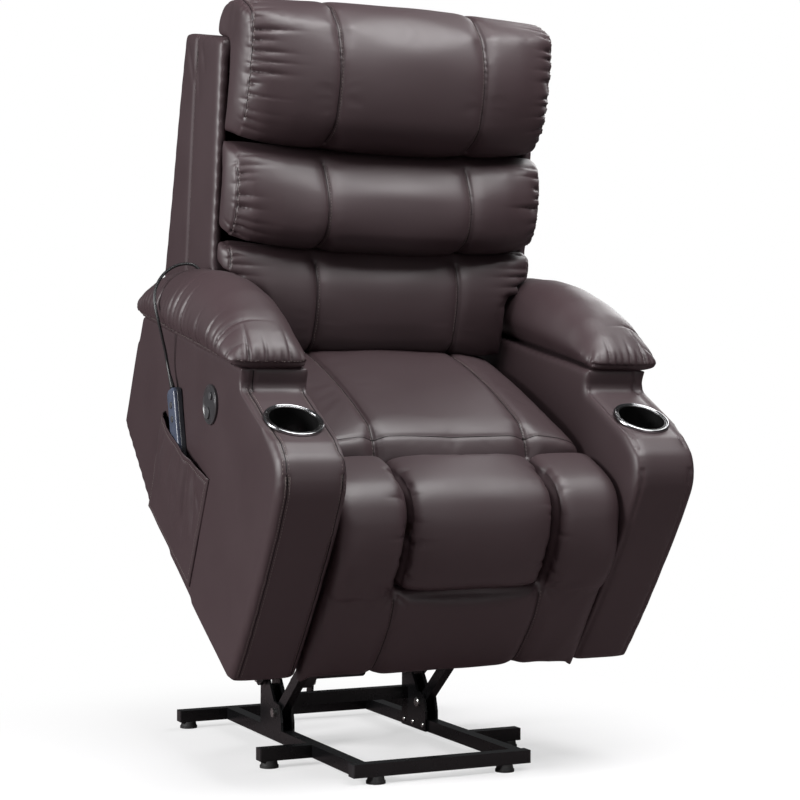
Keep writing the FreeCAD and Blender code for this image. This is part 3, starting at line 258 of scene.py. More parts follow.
# %% Helpers for node groups
def new_group(name, inputs, outputs):
    """An empty shader group. inputs and outputs are (name, socket type, value) and (name, socket type)."""
    group = bpy.data.node_groups.new(name, "ShaderNodeTree")
    for label, kind, value in inputs:
        socket = group.interface.new_socket(label, in_out="INPUT", socket_type=kind)
        socket.default_value = value
    for label, kind in outputs:
        group.interface.new_socket(label, in_out="OUTPUT", socket_type=kind)
    return group, group.nodes.new("NodeGroupInput"), group.nodes.new("NodeGroupOutput")


def node(tree, kind, links=None, **values):
    """Adds a node, sets its properties and feeds its inputs from (socket name, source) pairs."""
    made = tree.nodes.new(kind)
    for key, value in values.items():
        setattr(made, key, value)
    for key, source in (links or {}).items():
        if isinstance(source, bpy.types.NodeSocket):
            tree.links.new(source, made.inputs[key])
        else:
            made.inputs[key].default_value = source
    return made


def sums(tree, operation, a, b):
    return node(tree, "ShaderNodeMath", {0: a, 1: b}, operation=operation).outputs[0]


# %% Fine grain of coated leather
grain_group, g_in, g_out = new_group(
    "fine_grain",
    [("Pebble Size", "NodeSocketFloat", 0.0016), ("Crease Size", "NodeSocketFloat", 0.02),
     ("Crease Depth", "NodeSocketFloat", 0.4)],
    [("Height", "NodeSocketFloat"), ("Mask", "NodeSocketFloat")])
place = node(grain_group, "ShaderNodeTexCoord").outputs["Object"]
pebble_scale = sums(grain_group, "DIVIDE", 1.0, g_in.outputs["Pebble Size"])
pebble = node(grain_group, "ShaderNodeTexVoronoi", {"Vector": place, "Scale": pebble_scale},
              feature="SMOOTH_F1")
crease_scale = sums(grain_group, "DIVIDE", 1.0, g_in.outputs["Crease Size"])
crease = node(grain_group, "ShaderNodeTexNoise",
              {"Vector": place, "Scale": crease_scale, "Detail": 4.0, "Roughness": 0.55, "Distortion": 0.8})
ridged = node(grain_group, "ShaderNodeMapRange",
              {"Value": crease.outputs["Fac"], "From Min": 0.35, "From Max": 0.65})
crease_part = sums(grain_group, "MULTIPLY", ridged.outputs[0], g_in.outputs["Crease Depth"])
pebble_part = sums(grain_group, "MULTIPLY", pebble.outputs["Distance"], 0.6)
grain_group.links.new(sums(grain_group, "ADD", crease_part, pebble_part), g_out.inputs["Height"])
broad = node(grain_group, "ShaderNodeTexNoise", {"Vector": place, "Scale": 7.0, "Detail": 3.0})
grain_group.links.new(broad.outputs["Fac"], g_out.inputs["Mask"])

# %% Handling wear
handling_group, g_in, g_out = new_group(
    "handling",
    [("Size", "NodeSocketFloat", 0.05), ("Amount", "NodeSocketFloat", 0.5)],
    [("Mask", "NodeSocketFloat"), ("Fine", "NodeSocketFloat")])
place = node(handling_group, "ShaderNodeTexCoord").outputs["Object"]
cloud_scale = sums(handling_group, "DIVIDE", 1.0, g_in.outputs["Size"])
cloud = node(handling_group, "ShaderNodeTexNoise", {"Vector": place, "Scale": cloud_scale, "Detail": 6.0})
spots = node(handling_group, "ShaderNodeMapRange",
             {"Value": cloud.outputs["Fac"], "From Min": 0.42, "From Max": 0.72})
handling_group.links.new(sums(handling_group, "MULTIPLY", spots.outputs[0], g_in.outputs["Amount"]),
                         g_out.inputs["Mask"])
speck = node(handling_group, "ShaderNodeTexNoise", {"Vector": place, "Scale": 900.0, "Detail": 2.0})
handling_group.links.new(speck.outputs["Fac"], g_out.inputs["Fine"])
print("groups:", [g.name for g in bpy.data.node_groups])

# %% [markdown]
# ## Finishes
# Each finish keeps its own shader. What is even all over, such as sheen or coat, is typed on the shader,
# and only colour, roughness and height come through the groups.

# %% A helper that builds a finish
def finish(name, dark, light, rough, rough_gain=0.1, metallic=0.0, group=handling_group, inputs=None,
           bump=0.1, bump_distance=0.0005, height="Fine", coat=0.0, specular=0.5):
    """A material whose colour runs from dark to light, and whose roughness rises, with a group's mask."""
    material = bpy.data.materials.new(name)
    material.use_nodes = True
    tree = material.node_tree
    shader = tree.nodes["Principled BSDF"]
    effect = node(tree, "ShaderNodeGroup", {}, node_tree=group)
    for key, value in (inputs or {}).items():
        effect.inputs[key].default_value = value
    colour = node(tree, "ShaderNodeMix", {}, data_type="RGBA")
    colour.inputs["A"].default_value = (*dark, 1.0)
    colour.inputs["B"].default_value = (*light, 1.0)
    tree.links.new(effect.outputs["Mask"], colour.inputs["Factor"])
    tree.links.new(colour.outputs["Result"], shader.inputs["Base Color"])
    gain = node(tree, "ShaderNodeMapRange", {"Value": effect.outputs["Mask"], "To Min": rough,
                                             "To Max": rough + rough_gain})
    tree.links.new(gain.outputs[0], shader.inputs["Roughness"])
    relief = node(tree, "ShaderNodeBump", {"Height": effect.outputs[height], "Strength": bump,
                                           "Distance": bump_distance})
    tree.links.new(relief.outputs[0], shader.inputs["Normal"])
    shader.inputs["Metallic"].default_value = metallic
    shader.inputs["Coat Weight"].default_value = coat
    shader.inputs["Specular IOR Level"].default_value = specular
    return material


# %% The finishes
LEATHER_DARK = (0.0295, 0.0168, 0.0192)
LEATHER_LIGHT = (0.0375, 0.0225, 0.0255)
leather = finish("brown_coated_leather", LEATHER_DARK, LEATHER_LIGHT, 0.45, 0.10, group=grain_group,
                 inputs={"Pebble Size": 0.0015, "Crease Size": 0.018, "Crease Depth": 0.30},
                 bump=0.14, bump_distance=0.0006, height="Height", specular=0.50)
# near-black leather for the thin tubes laid in the seams' grooves: painted shade
painted_seam_shade = finish("painted_shade_in_seams", (0.0045, 0.0028, 0.0032), (0.0065, 0.0042, 0.0046), 0.62,
                   specular=0.2)
thread = finish("tan_thread", (0.105, 0.085, 0.080), (0.16, 0.135, 0.125), 0.6, inputs={"Size": 0.004})
black_tube = finish("black_powder_coat", (0.005, 0.005, 0.0055), (0.009, 0.009, 0.0095), 0.26, 0.10,
                    bump=0.08, bump_distance=0.0003, inputs={"Size": 0.06, "Amount": 0.4}, specular=0.32)
link_steel = finish("black_link_steel", (0.007, 0.007, 0.008), (0.016, 0.016, 0.016), 0.28, 0.14,
                    bump=0.06, inputs={"Size": 0.04, "Amount": 0.4}, specular=0.38)
bright_steel = finish("zinc_plate", (0.52, 0.52, 0.50), (0.70, 0.70, 0.69), 0.24, 0.2, metallic=1.0,
                      bump=0.05, inputs={"Size": 0.004, "Amount": 0.8})
black_plastic = finish("black_moulded_plastic", (0.009, 0.009, 0.010), (0.018, 0.018, 0.019), 0.28, 0.18,
                       bump=0.08, bump_distance=0.0003, inputs={"Size": 0.02, "Amount": 0.7})
tube_paint = finish("grey_tube_paint", (0.10, 0.105, 0.11), (0.15, 0.155, 0.16), 0.33, 0.12,
                    bump=0.05, inputs={"Size": 0.04})
rubber = finish("black_rubber", (0.012, 0.012, 0.012), (0.03, 0.03, 0.03), 0.6, 0.2,
                bump=0.2, inputs={"Size": 0.008})
cup_plastic = finish("cup_plastic", (0.006, 0.006, 0.006), (0.012, 0.012, 0.012), 0.22, 0.1,
                     bump=0.04, coat=0.2, inputs={"Size": 0.03})
chrome = finish("cup_rim_metal", (0.30, 0.30, 0.31), (0.46, 0.46, 0.47), 0.16, 0.12, metallic=1.0,
                bump=0.03, inputs={"Size": 0.01})
key_plastic = finish("key_plastic", (0.05, 0.05, 0.053), (0.08, 0.08, 0.083), 0.35, 0.1, bump=0.06)
handset_dark = finish("handset_shell_dark", (0.020, 0.022, 0.027), (0.035, 0.038, 0.044), 0.34, 0.12,
                      bump=0.06)
handset_face = finish("handset_face_grey", (0.050, 0.060, 0.090), (0.075, 0.088, 0.125), 0.26, 0.1, bump=0.04,
                      inputs={"Size": 0.02})
cable_rubber = finish("cable_rubber", (0.008, 0.008, 0.009), (0.016, 0.016, 0.017), 0.38, 0.16, bump=0.06)
lining = finish("black_lining_cloth", (0.008, 0.007, 0.007), (0.014, 0.013, 0.013), 0.8,
                bump=0.2, inputs={"Size": 0.01}, specular=0.2)
print("finishes:", len(bpy.data.materials))

# %% Wood and webbing
wood = bpy.data.materials.new("seat_frame_plywood")
wood.use_nodes = True
tree = wood.node_tree
shader = tree.nodes["Principled BSDF"]
place = node(tree, "ShaderNodeTexCoord").outputs["Object"]
stretched = node(tree, "ShaderNodeMapping", {"Vector": place, "Scale": (3.0, 40.0, 40.0)})
rings = node(tree, "ShaderNodeTexNoise", {"Vector": stretched.outputs[0], "Scale": 6.0, "Detail": 5.0,
                                         "Distortion": 0.6})
tone = node(tree, "ShaderNodeValToRGB", {"Fac": rings.outputs["Fac"]})
tone.color_ramp.elements[0].position = 0.35
tone.color_ramp.elements[0].color = (0.33, 0.20, 0.10, 1.0)
tone.color_ramp.elements[1].position = 0.65
tone.color_ramp.elements[1].color = (0.52, 0.36, 0.21, 1.0)
tree.links.new(tone.outputs["Color"], shader.inputs["Base Color"])
shader.inputs["Roughness"].default_value = 0.62
relief = node(tree, "ShaderNodeBump", {"Height": rings.outputs["Fac"], "Strength": 0.2, "Distance": 0.0005})
tree.links.new(relief.outputs[0], shader.inputs["Normal"])

webbing = bpy.data.materials.new("elastic_webbing")
webbing.use_nodes = True
tree = webbing.node_tree
shader = tree.nodes["Principled BSDF"]
place = node(tree, "ShaderNodeTexCoord").outputs["Object"]
ribs = node(tree, "ShaderNodeTexWave", {"Vector": place, "Scale": 130.0, "Distortion": 0.4},
            bands_direction="X")
band = node(tree, "ShaderNodeMix", {}, data_type="RGBA")
band.inputs["A"].default_value = (0.012, 0.012, 0.013, 1.0)
band.inputs["B"].default_value = (0.05, 0.05, 0.052, 1.0)
tree.links.new(ribs.outputs["Fac"], band.inputs["Factor"])
tree.links.new(band.outputs["Result"], shader.inputs["Base Color"])
shader.inputs["Roughness"].default_value = 0.8
relief = node(tree, "ShaderNodeBump", {"Height": ribs.outputs["Fac"], "Strength": 0.5, "Distance": 0.0008})
tree.links.new(relief.outputs[0], shader.inputs["Normal"])

# %% Dress the frame's own parts
DRESS = {
    "black_tube": black_tube, "link_steel": link_steel, "bright_steel": bright_steel,
    "black_plastic": black_plastic, "actuator_tube": tube_paint, "rubber_feet": rubber,
    "plywood": wood, "webbing": webbing, "cup_plastic": cup_plastic, "handset_shell": handset_dark,
    "cable_jacket": cable_rubber, "handset_keys": key_plastic, "plate_keys": key_plastic,
    "leather": leather,
}
cable.data.materials.append(cable_rubber)
for row in frame["record"]["subparts"]:
    part = frame["nodes"][row["node"]]
    part.data.materials.clear()
    part.data.materials.append(DRESS[row["material_slot"]])
frame["nodes"]["back_board"].data.materials[0] = lining      # it shows between the back cushions

# %% [markdown]
# ## Tools for soft leather
# A cushion on the real chair is foam in a sewn cover: the cover swells between its seams,
# a seam pulls it in, and where more leather than needed is sewn to an edge it gathers into creases.
# Each tool below does one of these to an evenly meshed copy of the plain solid.

# %% Copy, remesh and swell
def join_copies(name, *nodes):
    """Copies of frame solids as one mesh in level axes."""
    work = bmesh.new()
    for label in nodes:
        work.from_mesh(frame["nodes"][label].data)
    bmesh.ops.remove_doubles(work, verts=work.verts, dist=0.00001)
    data = bpy.data.meshes.new(name)
    work.to_mesh(data)
    work.free()
    data.materials.clear()
    data.transform(LEVEL)
    obj = bpy.data.objects.new(name, data)
    scene.collection.objects.link(obj)
    return obj


def apply_modifier(obj, kind, **values):
    """Adds one modifier and applies it."""
    modifier = obj.modifiers.new(kind.title(), kind)
    for key, value in values.items():
        setattr(modifier, key, value)
    only(obj)
    bpy.ops.object.modifier_apply(modifier=modifier.name)


def arrays(obj):
    """The mesh's points and normals as two arrays."""
    count = len(obj.data.vertices)
    points = np.empty(count * 3, np.float32)
    normals = np.empty(count * 3, np.float32)
    obj.data.vertices.foreach_get("co", points)
    obj.data.vertex_normals.foreach_get("vector", normals)
    return points.reshape(-1, 3).astype(float), normals.reshape(-1, 3).astype(float)


def put_points(obj, points):
    obj.data.vertices.foreach_set("co", points.astype(np.float32).ravel())
    obj.data.update()


SWELL_FRAMES = 11


def swell(obj, cap, pressure=3.0):
    """Lets the cover swell like a sewn cushion, and keeps each point within cap of where it was."""
    rest, _ = arrays(obj)
    cloth = obj.modifiers.new("swell", "CLOTH")
    cloth.settings.quality = 4
    cloth.settings.use_pressure = True
    cloth.settings.uniform_pressure_force = pressure
    cloth.settings.effector_weights.gravity = 0.0
    cloth.collision_settings.use_self_collision = False
    for step in range(1, SWELL_FRAMES + 1):
        scene.frame_set(step)
    only(obj)
    bpy.ops.object.modifier_apply(modifier=cloth.name)
    scene.frame_set(1)
    moved, _ = arrays(obj)
    way = moved - rest
    far = np.linalg.norm(way, axis=1)
    way *= np.minimum(1.0, cap / np.maximum(far, 1e-9))[:, None]
    put_points(obj, rest + way)
    apply_modifier(obj, "SMOOTH", factor=0.5, iterations=4)


def soft_copy(name, nodes, voxel, shrink=0.0, cap=0.0, smooth=4, shape=None):
    """An even, swollen and subdivided mesh of plain solids, which shape may change first."""
    obj = join_copies(name, *nodes)
    if shape:
        shape(obj)
    apply_modifier(obj, "REMESH", mode="VOXEL", voxel_size=voxel)
    apply_modifier(obj, "SMOOTH", factor=0.5, iterations=smooth)
    if shrink:
        points, normals = arrays(obj)
        put_points(obj, points - normals * shrink)
    if cap:
        swell(obj, cap)
    apply_modifier(obj, "SUBSURF", levels=1, render_levels=1)
    return obj


# %% Lines on a surface
def surface(obj):
    """A search tree of the mesh for rays and nearest points."""
    return BVHTree.FromPolygons([v.co for v in obj.data.vertices], [p.vertices for p in obj.data.polygons])


def resample(points, step):
    """Evenly spaced points along a line."""
    lengths = [0.0]
    for a, b in zip(points, points[1:]):
        lengths.append(lengths[-1] + (b - a).length)
    count = max(2, round(lengths[-1] / step) + 1)
    made, k = [], 0
    for i in range(count):
        at = lengths[-1] * i / (count - 1)
        while k < len(lengths) - 2 and lengths[k + 1] < at:
            k += 1
        share = (at - lengths[k]) / max(1e-9, lengths[k + 1] - lengths[k])
        made.append(points[k].lerp(points[k + 1], share))
    return made


LINE_STEP = 0.002
LINE_REACH = 0.13      # no crease or seam works further than this from its line
LOOK_STEP = 0.004      # spacing of the looks that lay a line on the surface
LOOK_BACK = 0.5        # each look starts this far before its point
LOOK_FAR = 1.5


def around(tree, x, centre, start, stop, count=140):
    """A line round a cushion in the plane x: the angle is 0 forwards and 90 up from a (y, z) centre."""
    reach = 0.6
    made = []
    for k in range(count + 1):
        a = math.radians(start + (stop - start) * k / count)
        way = Vector((0.0, -math.cos(a), math.sin(a)))
        hit = tree.ray_cast(Vector((x, *centre)) + way * reach, -way, reach)[0]
        if hit:
            made.append(hit)
    return resample(made, LINE_STEP)


def project(tree, points, way, step=LINE_STEP):
    """A line laid on the surface by looking along way at each of a few points."""
    way = Vector(way).normalized()
    made = []
    for point in resample([Vector(p) for p in points], LOOK_STEP):
        hit = tree.ray_cast(point - way * LOOK_BACK, way, LOOK_FAR)[0]
        if hit:
            made.append(hit)
    return resample(made, step)


def nearest(points, line):
    """For each point, how far the line is, the nearest place along it and the way off it."""
    knots = np.array([tuple(p) for p in line])
    best = np.full(len(points), 1.0)
    index = np.zeros(len(points), int)
    close = ((points > knots.min(0) - LINE_REACH) & (points < knots.max(0) + LINE_REACH)).all(1)
    inside = points[close]
    least = np.full(len(inside), 1.0)
    found = np.zeros(len(inside), int)
    for k, knot in enumerate(knots):
        away = ((inside - knot) ** 2).sum(1)
        closer = away < least
        least[closer] = away[closer]
        found[closer] = k
    best[close] = least
    index[close] = found
    tangents = np.gradient(knots, axis=0)
    tangents /= np.maximum(np.linalg.norm(tangents, axis=1), 1e-9)[:, None]
    off = points - knots[index]
    lengths = np.concatenate([[0.0], np.cumsum(np.linalg.norm(np.diff(knots, axis=0), axis=1))])
    along = lengths[index] + (off * tangents[index]).sum(1)
    return np.sqrt(best), along, off, lengths[-1]


# %% Sew, gather and crease
WANDER = 0.42           # how far a crease may stray from its even place, against the pitch
SHARP = 0.62            # below 1, the valleys are sharper than the puffs between them
SEAM_SHARE = 0.35       # a crease's share of its depth right at the sewn line
SEAM_RISE = 0.007       # distance from the line over which it gets the rest
SIDE_BLEND = 0.003      # width over which the creases start, on the inward side of the line
PUFF = 0.30             # the leather between stands up by this share of the depth


def sink(obj, line, depth, width, fade=0.0):
    """Pulls the surface in along a line. fade tapers the ends of a crease over that length."""
    points, normals = arrays(obj)
    away, along, _, total = nearest(points, line)
    amount = depth * np.exp(-(away / width) ** 2)
    if fade:
        amount *= np.clip(np.minimum(along, total - along) / fade, 0.0, 1.0) ** 0.7
    put_points(obj, points - normals * amount[:, None])


def sew(obj, line, groove, hollow):
    """A seam's narrow groove in a broad hollow, each given as depth and width."""
    sink(obj, line, *groove)
    sink(obj, line, *hollow)


def gather(obj, line, inward, pitch, reach, depth, seed, slant=0.0):
    """Fans creases out from a sewn line on its inward side, each of its own length and depth."""
    points, normals = arrays(obj)
    away, along, off, total = nearest(points, line)
    side = (off * np.array(inward)).sum(1)
    dice = np.random.RandomState(seed)
    count = int(total / pitch) + 3
    shift = np.interp(along, np.linspace(0, total, count), dice.uniform(-WANDER, WANDER, count))
    phase = (along + slant * away) / pitch + shift
    crease = np.clip(np.round(phase).astype(int), 0, count)
    deep = dice.uniform(0.25, 1.0, count + 1)[crease]
    far = dice.uniform(0.35, 1.20, count + 1)[crease] * reach
    valley = 1.0 - np.abs(np.sin(np.pi * phase)) ** SHARP
    start = SEAM_SHARE + (1.0 - SEAM_SHARE) * (1.0 - np.exp(-(away / SEAM_RISE) ** 2))
    inner_side = np.clip(side / SIDE_BLEND + 0.5, 0.0, 1.0)
    amount = depth * deep * valley * start * np.exp(-(away / far) ** 2) * inner_side
    amount -= PUFF * depth * np.exp(-(away / reach) ** 2) * inner_side
    put_points(obj, points - normals * amount[:, None])


def unevenness(obj, size, height, seed):
    """Slow hills and hollows, as foam under leather has."""
    points, normals = arrays(obj)
    shift = Vector((seed * 3.1, seed * 1.7, seed * 2.3))
    hills = np.array([noise.noise(Vector(p) / size + shift) for p in points])
    put_points(obj, points + normals * (height * hills)[:, None])


print("leather tools ready")

# %% Thread and strips of painted seam shade
THREAD_R = 0.0006
STITCH_LEN = 0.0042
STITCH_PITCH = 0.0062
STITCH_RINGS = ((-0.5, 0.2), (-0.28, 1.0), (0.28, 1.0), (0.5, 0.2))   # shares of its length and of its radius
STITCH_SIDES = 5
# size of the near-black tube laid along the bottom of each seam: painted shade in the groove
SEAM_SHADE_R = 0.0008
SEAM_SHADE_STEP = 0.004
SEAM_SHADE_SIDES = 6
thread_rows = {}
painted_shade_rows = {}


def add_tube(rows, rings, sides):
    """Adds a closed tube to a body's points and faces. Each ring is (centre, side, normal, radius)."""
    points, faces = rows
    first = len(points)
    for centre, side, normal, radius in rings:
        for k in range(sides):
            a = 2 * math.pi * k / sides
            points.append(RAISE @ (centre + (side * math.cos(a) + normal * math.sin(a)) * radius))
    last = first + (len(rings) - 1) * sides
    for base in range(first, last, sides):
        for k in range(sides):
            a, b = base + k, base + (k + 1) % sides
            faces.append((a, b, b + sides, a + sides))
    faces.append(tuple(first + k for k in reversed(range(sides))))
    faces.append(tuple(last + k for k in range(sides)))


def stitch(body, tree, line, offset=0.0):
    """Lays a row of stitches on the surface beside a line, and keeps it for the body's thread."""
    rows = thread_rows.setdefault(body, ([], []))
    spots = resample(line, STITCH_PITCH)
    for a, b in zip(spots, spots[1:]):
        tangent = (b - a).normalized()
        _, normal, _, _ = tree.find_nearest(a)
        side = normal.cross(tangent).normalized()
        middle, normal, _, _ = tree.find_nearest(a + side * offset)
        side = normal.cross(tangent).normalized()
        rings = []
        for share, full in STITCH_RINGS:
            centre = middle + tangent * (share * STITCH_LEN) + normal * (THREAD_R * 0.5 * full)
            rings.append((centre, side, normal, THREAD_R * full))
        add_tube(rows, rings, STITCH_SIDES)


def lay_painted_seam_shade(body, tree, line):
    """Lays the leather's turned-in edge along the bottom of a seam as a thin tube coloured near-black, which
    paints the shade in the groove.
    """
    spots = resample(line, SEAM_SHADE_STEP)
    rings = []
    for before, spot, after in zip(spots[:1] + spots, spots, spots[1:] + spots[-1:]):
        tangent = (after - before).normalized()
        centre, normal, _, _ = tree.find_nearest(spot)
        rings.append((centre, normal.cross(tangent).normalized(), normal, SEAM_SHADE_R))
    add_tube(painted_shade_rows.setdefault(body, ([], [])), rings, SEAM_SHADE_SIDES)


def dress_seam(body, tree, line, *offsets):
    """A seam's near-black tube of painted shade, with a row of stitches at each offset beside it."""
    lay_painted_seam_shade(body, tree, line)
    for offset in offsets:
        stitch(body, tree, line, offset)


# %% Hand over a leather piece
def hand_over(obj, body, nodes, material, angle=None):
    """Raises a levelled piece, smooths its shading and lets it ride on its body."""
    obj.data.materials.clear()
    obj.data.materials.append(material)
    raise_mesh(obj)
    only(obj)
    if angle:
        bpy.ops.object.shade_smooth_by_angle(angle=math.radians(angle))
    else:
        bpy.ops.object.shade_smooth()
    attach(obj, body)
    if nodes:
        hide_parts(*nodes)
    obj.data.calc_loop_triangles()
    print(obj.name, len(obj.data.loop_triangles), "triangles")
    deselect()


# %% [markdown]
# ## Back cushions
# Three cushions hang over one another. Each is sewn in three channels by two upright seams,
# and its ends are gathered onto a narrow side panel, which draws short creases into the front.

# %% Shape of the back
SHELL_FRONT = (0.639, 0.534, 0.391)     # y and z of the wings' lowest front point, and their slope
VALLEY_LOW, VALLEY_HIGH, HEAD_TOP = 0.592, 0.772, 1.042
LOWER_FOOT = 0.376                      # underside of the lower cushion, close over the seat
LOWER_THIN = (0.50, 0.74)               # its depth at the foot and the valley, against the middle cushion's
SAG = 0.017                             # how much lower the valleys hang in the middle than at the ends
BACK_HALF = 0.351
ARM_CLEAR = ((0.284, 0.512), (0.312, 0.540))   # from this x outwards the foot is cut away below this z


def shell_y(z):
    return SHELL_FRONT[0] + (z - SHELL_FRONT[1]) * SHELL_FRONT[2]


def cut_box(obj, low, high):
    """Cuts a box away."""
    size = Vector(high) - Vector(low)
    bpy.ops.mesh.primitive_cube_add(size=1.0, location=(Vector(low) + Vector(high)) / 2)
    cutter = bpy.context.object
    cutter.scale = size
    bpy.ops.object.transform_apply(location=True, rotation=True, scale=True)
    apply_modifier(obj, "BOOLEAN", operation="DIFFERENCE", object=cutter, solver="EXACT")
    bpy.data.objects.remove(cutter)


def as_lower_cushion(obj):
    """The middle cushion's shape, lower and thinner, with its foot narrowed between the arms."""
    points, _ = arrays(obj)
    share = (points[:, 2] - VALLEY_LOW) / (VALLEY_HIGH - VALLEY_LOW)
    depth = shell_y(points[:, 2]) - points[:, 1]
    depth *= LOWER_THIN[0] + (LOWER_THIN[1] - LOWER_THIN[0]) * np.clip(share, 0.0, 1.0)
    points[:, 2] = LOWER_FOOT + share * (VALLEY_LOW - 0.001 - LOWER_FOOT)
    points[:, 1] = shell_y(points[:, 2]) - depth
    put_points(obj, points)
    for side in (-1, 1):
        for x, z in ARM_CLEAR:
            near, far = sorted((side * x, side * 0.5))
            cut_box(obj, (near, 0.2, 0.2), (far, 1.2, z))


def sag(obj):
    """Lets the cushions hang a little in the middle."""
    points, _ = arrays(obj)
    share = np.clip((points[:, 2] - LOWER_FOOT) / (HEAD_TOP - LOWER_FOOT), 0.0, 1.0)
    drop = SAG * np.sin(np.pi * share) * (1.0 - (points[:, 0] / BACK_HALF) ** 2)
    points[:, 2] -= np.maximum(drop, 0.0)
    put_points(obj, points)


ROLL_DEPTH = 0.05                       # the roll works on this much of a cushion's front
ROLL_LOW = 0.40                         # shares of its height that roll back at the foot and at the top
ROLL_HIGH = 0.28


def roll_under(obj, front, low, high):
    """Rounds a cushion's front back by low and high at its edges to the valleys under and over it."""
    points, _ = arrays(obj)
    bottom, top = points[:, 2].min(), points[:, 2].max()
    share = (points[:, 2] - bottom) / (top - bottom)
    ahead = np.clip((front - points[:, 1]) / ROLL_DEPTH, 0.0, 1.0)
    under = low * np.clip(1.0 - share / ROLL_LOW, 0.0, 1.0) ** 2
    over = high * np.clip(1.0 - (1.0 - share) / ROLL_HIGH, 0.0, 1.0) ** 2
    points[:, 1] += (under + over) * ahead
    put_points(obj, points)


# %% Back cushions
BACK_SEAM = 0.155
# name, solid it is shaped from, solids it replaces, centre (y, z), seam angles, roll low and high, shape
BACK_CUSHIONS = [
    ("head_cushion_cover", "head_cushion", ("head_cushion",),
     (0.745, 0.900), (-50, 128), (0.034, 0.0), None),
    ("middle_cushion_cover", "middle_cushion", ("middle_cushion",),
     (0.655, 0.682), (-72, 78), (0.028, 0.012), None),
    ("lower_cushion_cover", "middle_cushion", ("lower_cushion", "lower_cushion_ends"),
     (0.605, 0.485), (-66, 76), (0.0, 0.012), as_lower_cushion),
]
VOXEL = 0.006
GUSSET = 0.016                          # from a cushion's end to the seam of its side panel
END_START = 6                           # degrees that an end's seam starts above the other seams
END_PITCH, END_REACH, END_DEPTH = 0.021, 0.052, 0.0115
PANEL_REACH, PANEL_DEPTH = 0.016, 0.005
for number, (name, source, solids, centre, angles, roll, shape) in enumerate(BACK_CUSHIONS):
    cushion = soft_copy(name, (source,), VOXEL, shrink=0.002, cap=0.012, smooth=10, shape=shape)
    roll_under(cushion, centre[0], *roll)
    sag(cushion)
    unevenness(cushion, size=0.13, height=0.0028, seed=number + 1)
    tree = surface(cushion)
    side_panel = max(v.co.x for v in cushion.data.vertices) - GUSSET
    ends = {}
    for side in (-1, 1):
        if shape:
            ends[side] = project(tree, [(side * side_panel, 0.3, ARM_CLEAR[1][1] + 0.008),
                                        (side * side_panel, 0.3, VALLEY_LOW - 0.006)], (0, 1, 0))
        else:
            ends[side] = around(tree, side * side_panel, centre, angles[0] + END_START, angles[1])
        gather(cushion, ends[side], (-side, 0, 0), END_PITCH, END_REACH, END_DEPTH, 10 * number + side + 2)
        gather(cushion, ends[side], (side, 0, 0), END_PITCH, PANEL_REACH, PANEL_DEPTH, 10 * number + side + 5)
        sink(cushion, ends[side], depth=0.0035, width=0.0032)
        seam = around(tree, side * BACK_SEAM, centre, *angles)
        sew(cushion, seam, groove=(0.0042, 0.0036), hollow=(0.0018, 0.012))
    tree = surface(cushion)
    for side in (-1, 1):
        seam = around(tree, side * BACK_SEAM, centre, *angles)
        dress_seam("backrest", tree, seam, side * 0.0052)
        dress_seam("backrest", tree, ends[side], side * 0.0045)
    hand_over(cushion, "backrest", solids, leather)

# %% [markdown]
# ## Seat
# The seat is one wide cushion with two seams from back to front and a rolled front edge.

# %% Seat cushion
SEAT_SEAM = 0.158
SEAT_SEAM_REAR = 0.575
SEAT_LIP_Y = 0.166
SEAT_LIP_HALF = 0.27


def on_seat(tree, *spots):
    """A line on the seat's top through (x, y) places."""
    return project(tree, [(x, y, 0.6) for x, y in spots], (0, 0, -1))


seat = soft_copy("seat_cushion_cover", ("seat_cushion",), VOXEL, shrink=0.003, cap=0.012, smooth=14)
unevenness(seat, size=0.16, height=0.003, seed=5)
tree = surface(seat)
lip = on_seat(tree, (-SEAT_LIP_HALF, SEAT_LIP_Y), (SEAT_LIP_HALF, SEAT_LIP_Y))
sink(seat, lip, depth=0.0014, width=0.0045)
for side in (-1, 1):
    seam = on_seat(tree, (side * SEAT_SEAM, SEAT_SEAM_REAR), (side * SEAT_SEAM, 0.142))
    sew(seat, seam, groove=(0.0040, 0.0036), hollow=(0.0014, 0.012))
tree = surface(seat)
for side in (-1, 1):
    seam = on_seat(tree, (side * SEAT_SEAM, SEAT_SEAM_REAR), (side * SEAT_SEAM, 0.145))
    dress_seam("chair", tree, seam, side * 0.005)
# a near-black tube along the front lip's groove: painted shade
lay_painted_seam_shade("chair", tree, lip)
hand_over(seat, "chair", ["seat_cushion"], leather)

# %% [markdown]
# ## Footrest
# The folded footrest is a tall padded front. Its cover is one skin over the side columns and the lower band,
# with a separate stuffed column let into its middle, so narrow dark gaps show round that column.

# %% Footrest cover
FOOT_SEAM = 0.149
FOOT_SEAM_TOP = 0.205
FOOT_HALF = 0.284
FOOT_ROLL = (0.060, 0.325)      # y, z inside the columns' top roll
SIDE_SOLIDS = ("footrest_pad_side_left", "footrest_pad_side_right", "footrest_pad_lower")
STUFF_FROM = 0.20               # outwards of this the pad's ends are stuffed
STUFF_AHEAD = 0.014             # how far the ends come forward and down
STUFF_DOWN = 0.006


def fill_corners(obj):
    """Stuffs the outer ends of the pad, so no daylight shows beside the arms."""
    points, _ = arrays(obj)
    share = np.clip((np.abs(points[:, 0]) - STUFF_FROM) / (FOOT_HALF - STUFF_FROM), 0.0, 1.0) ** 2
    low = np.clip((0.34 - points[:, 2]) / 0.06, 0.0, 1.0)
    ahead = np.clip((0.030 - points[:, 1]) / 0.02, 0.0, 1.0)
    points[:, 0] *= 1.006
    points[:, 1] -= STUFF_AHEAD * share * low * ahead
    points[:, 2] -= STUFF_DOWN * share * np.clip((0.05 - points[:, 2]) / 0.05, 0.0, 1.0)
    put_points(obj, points)


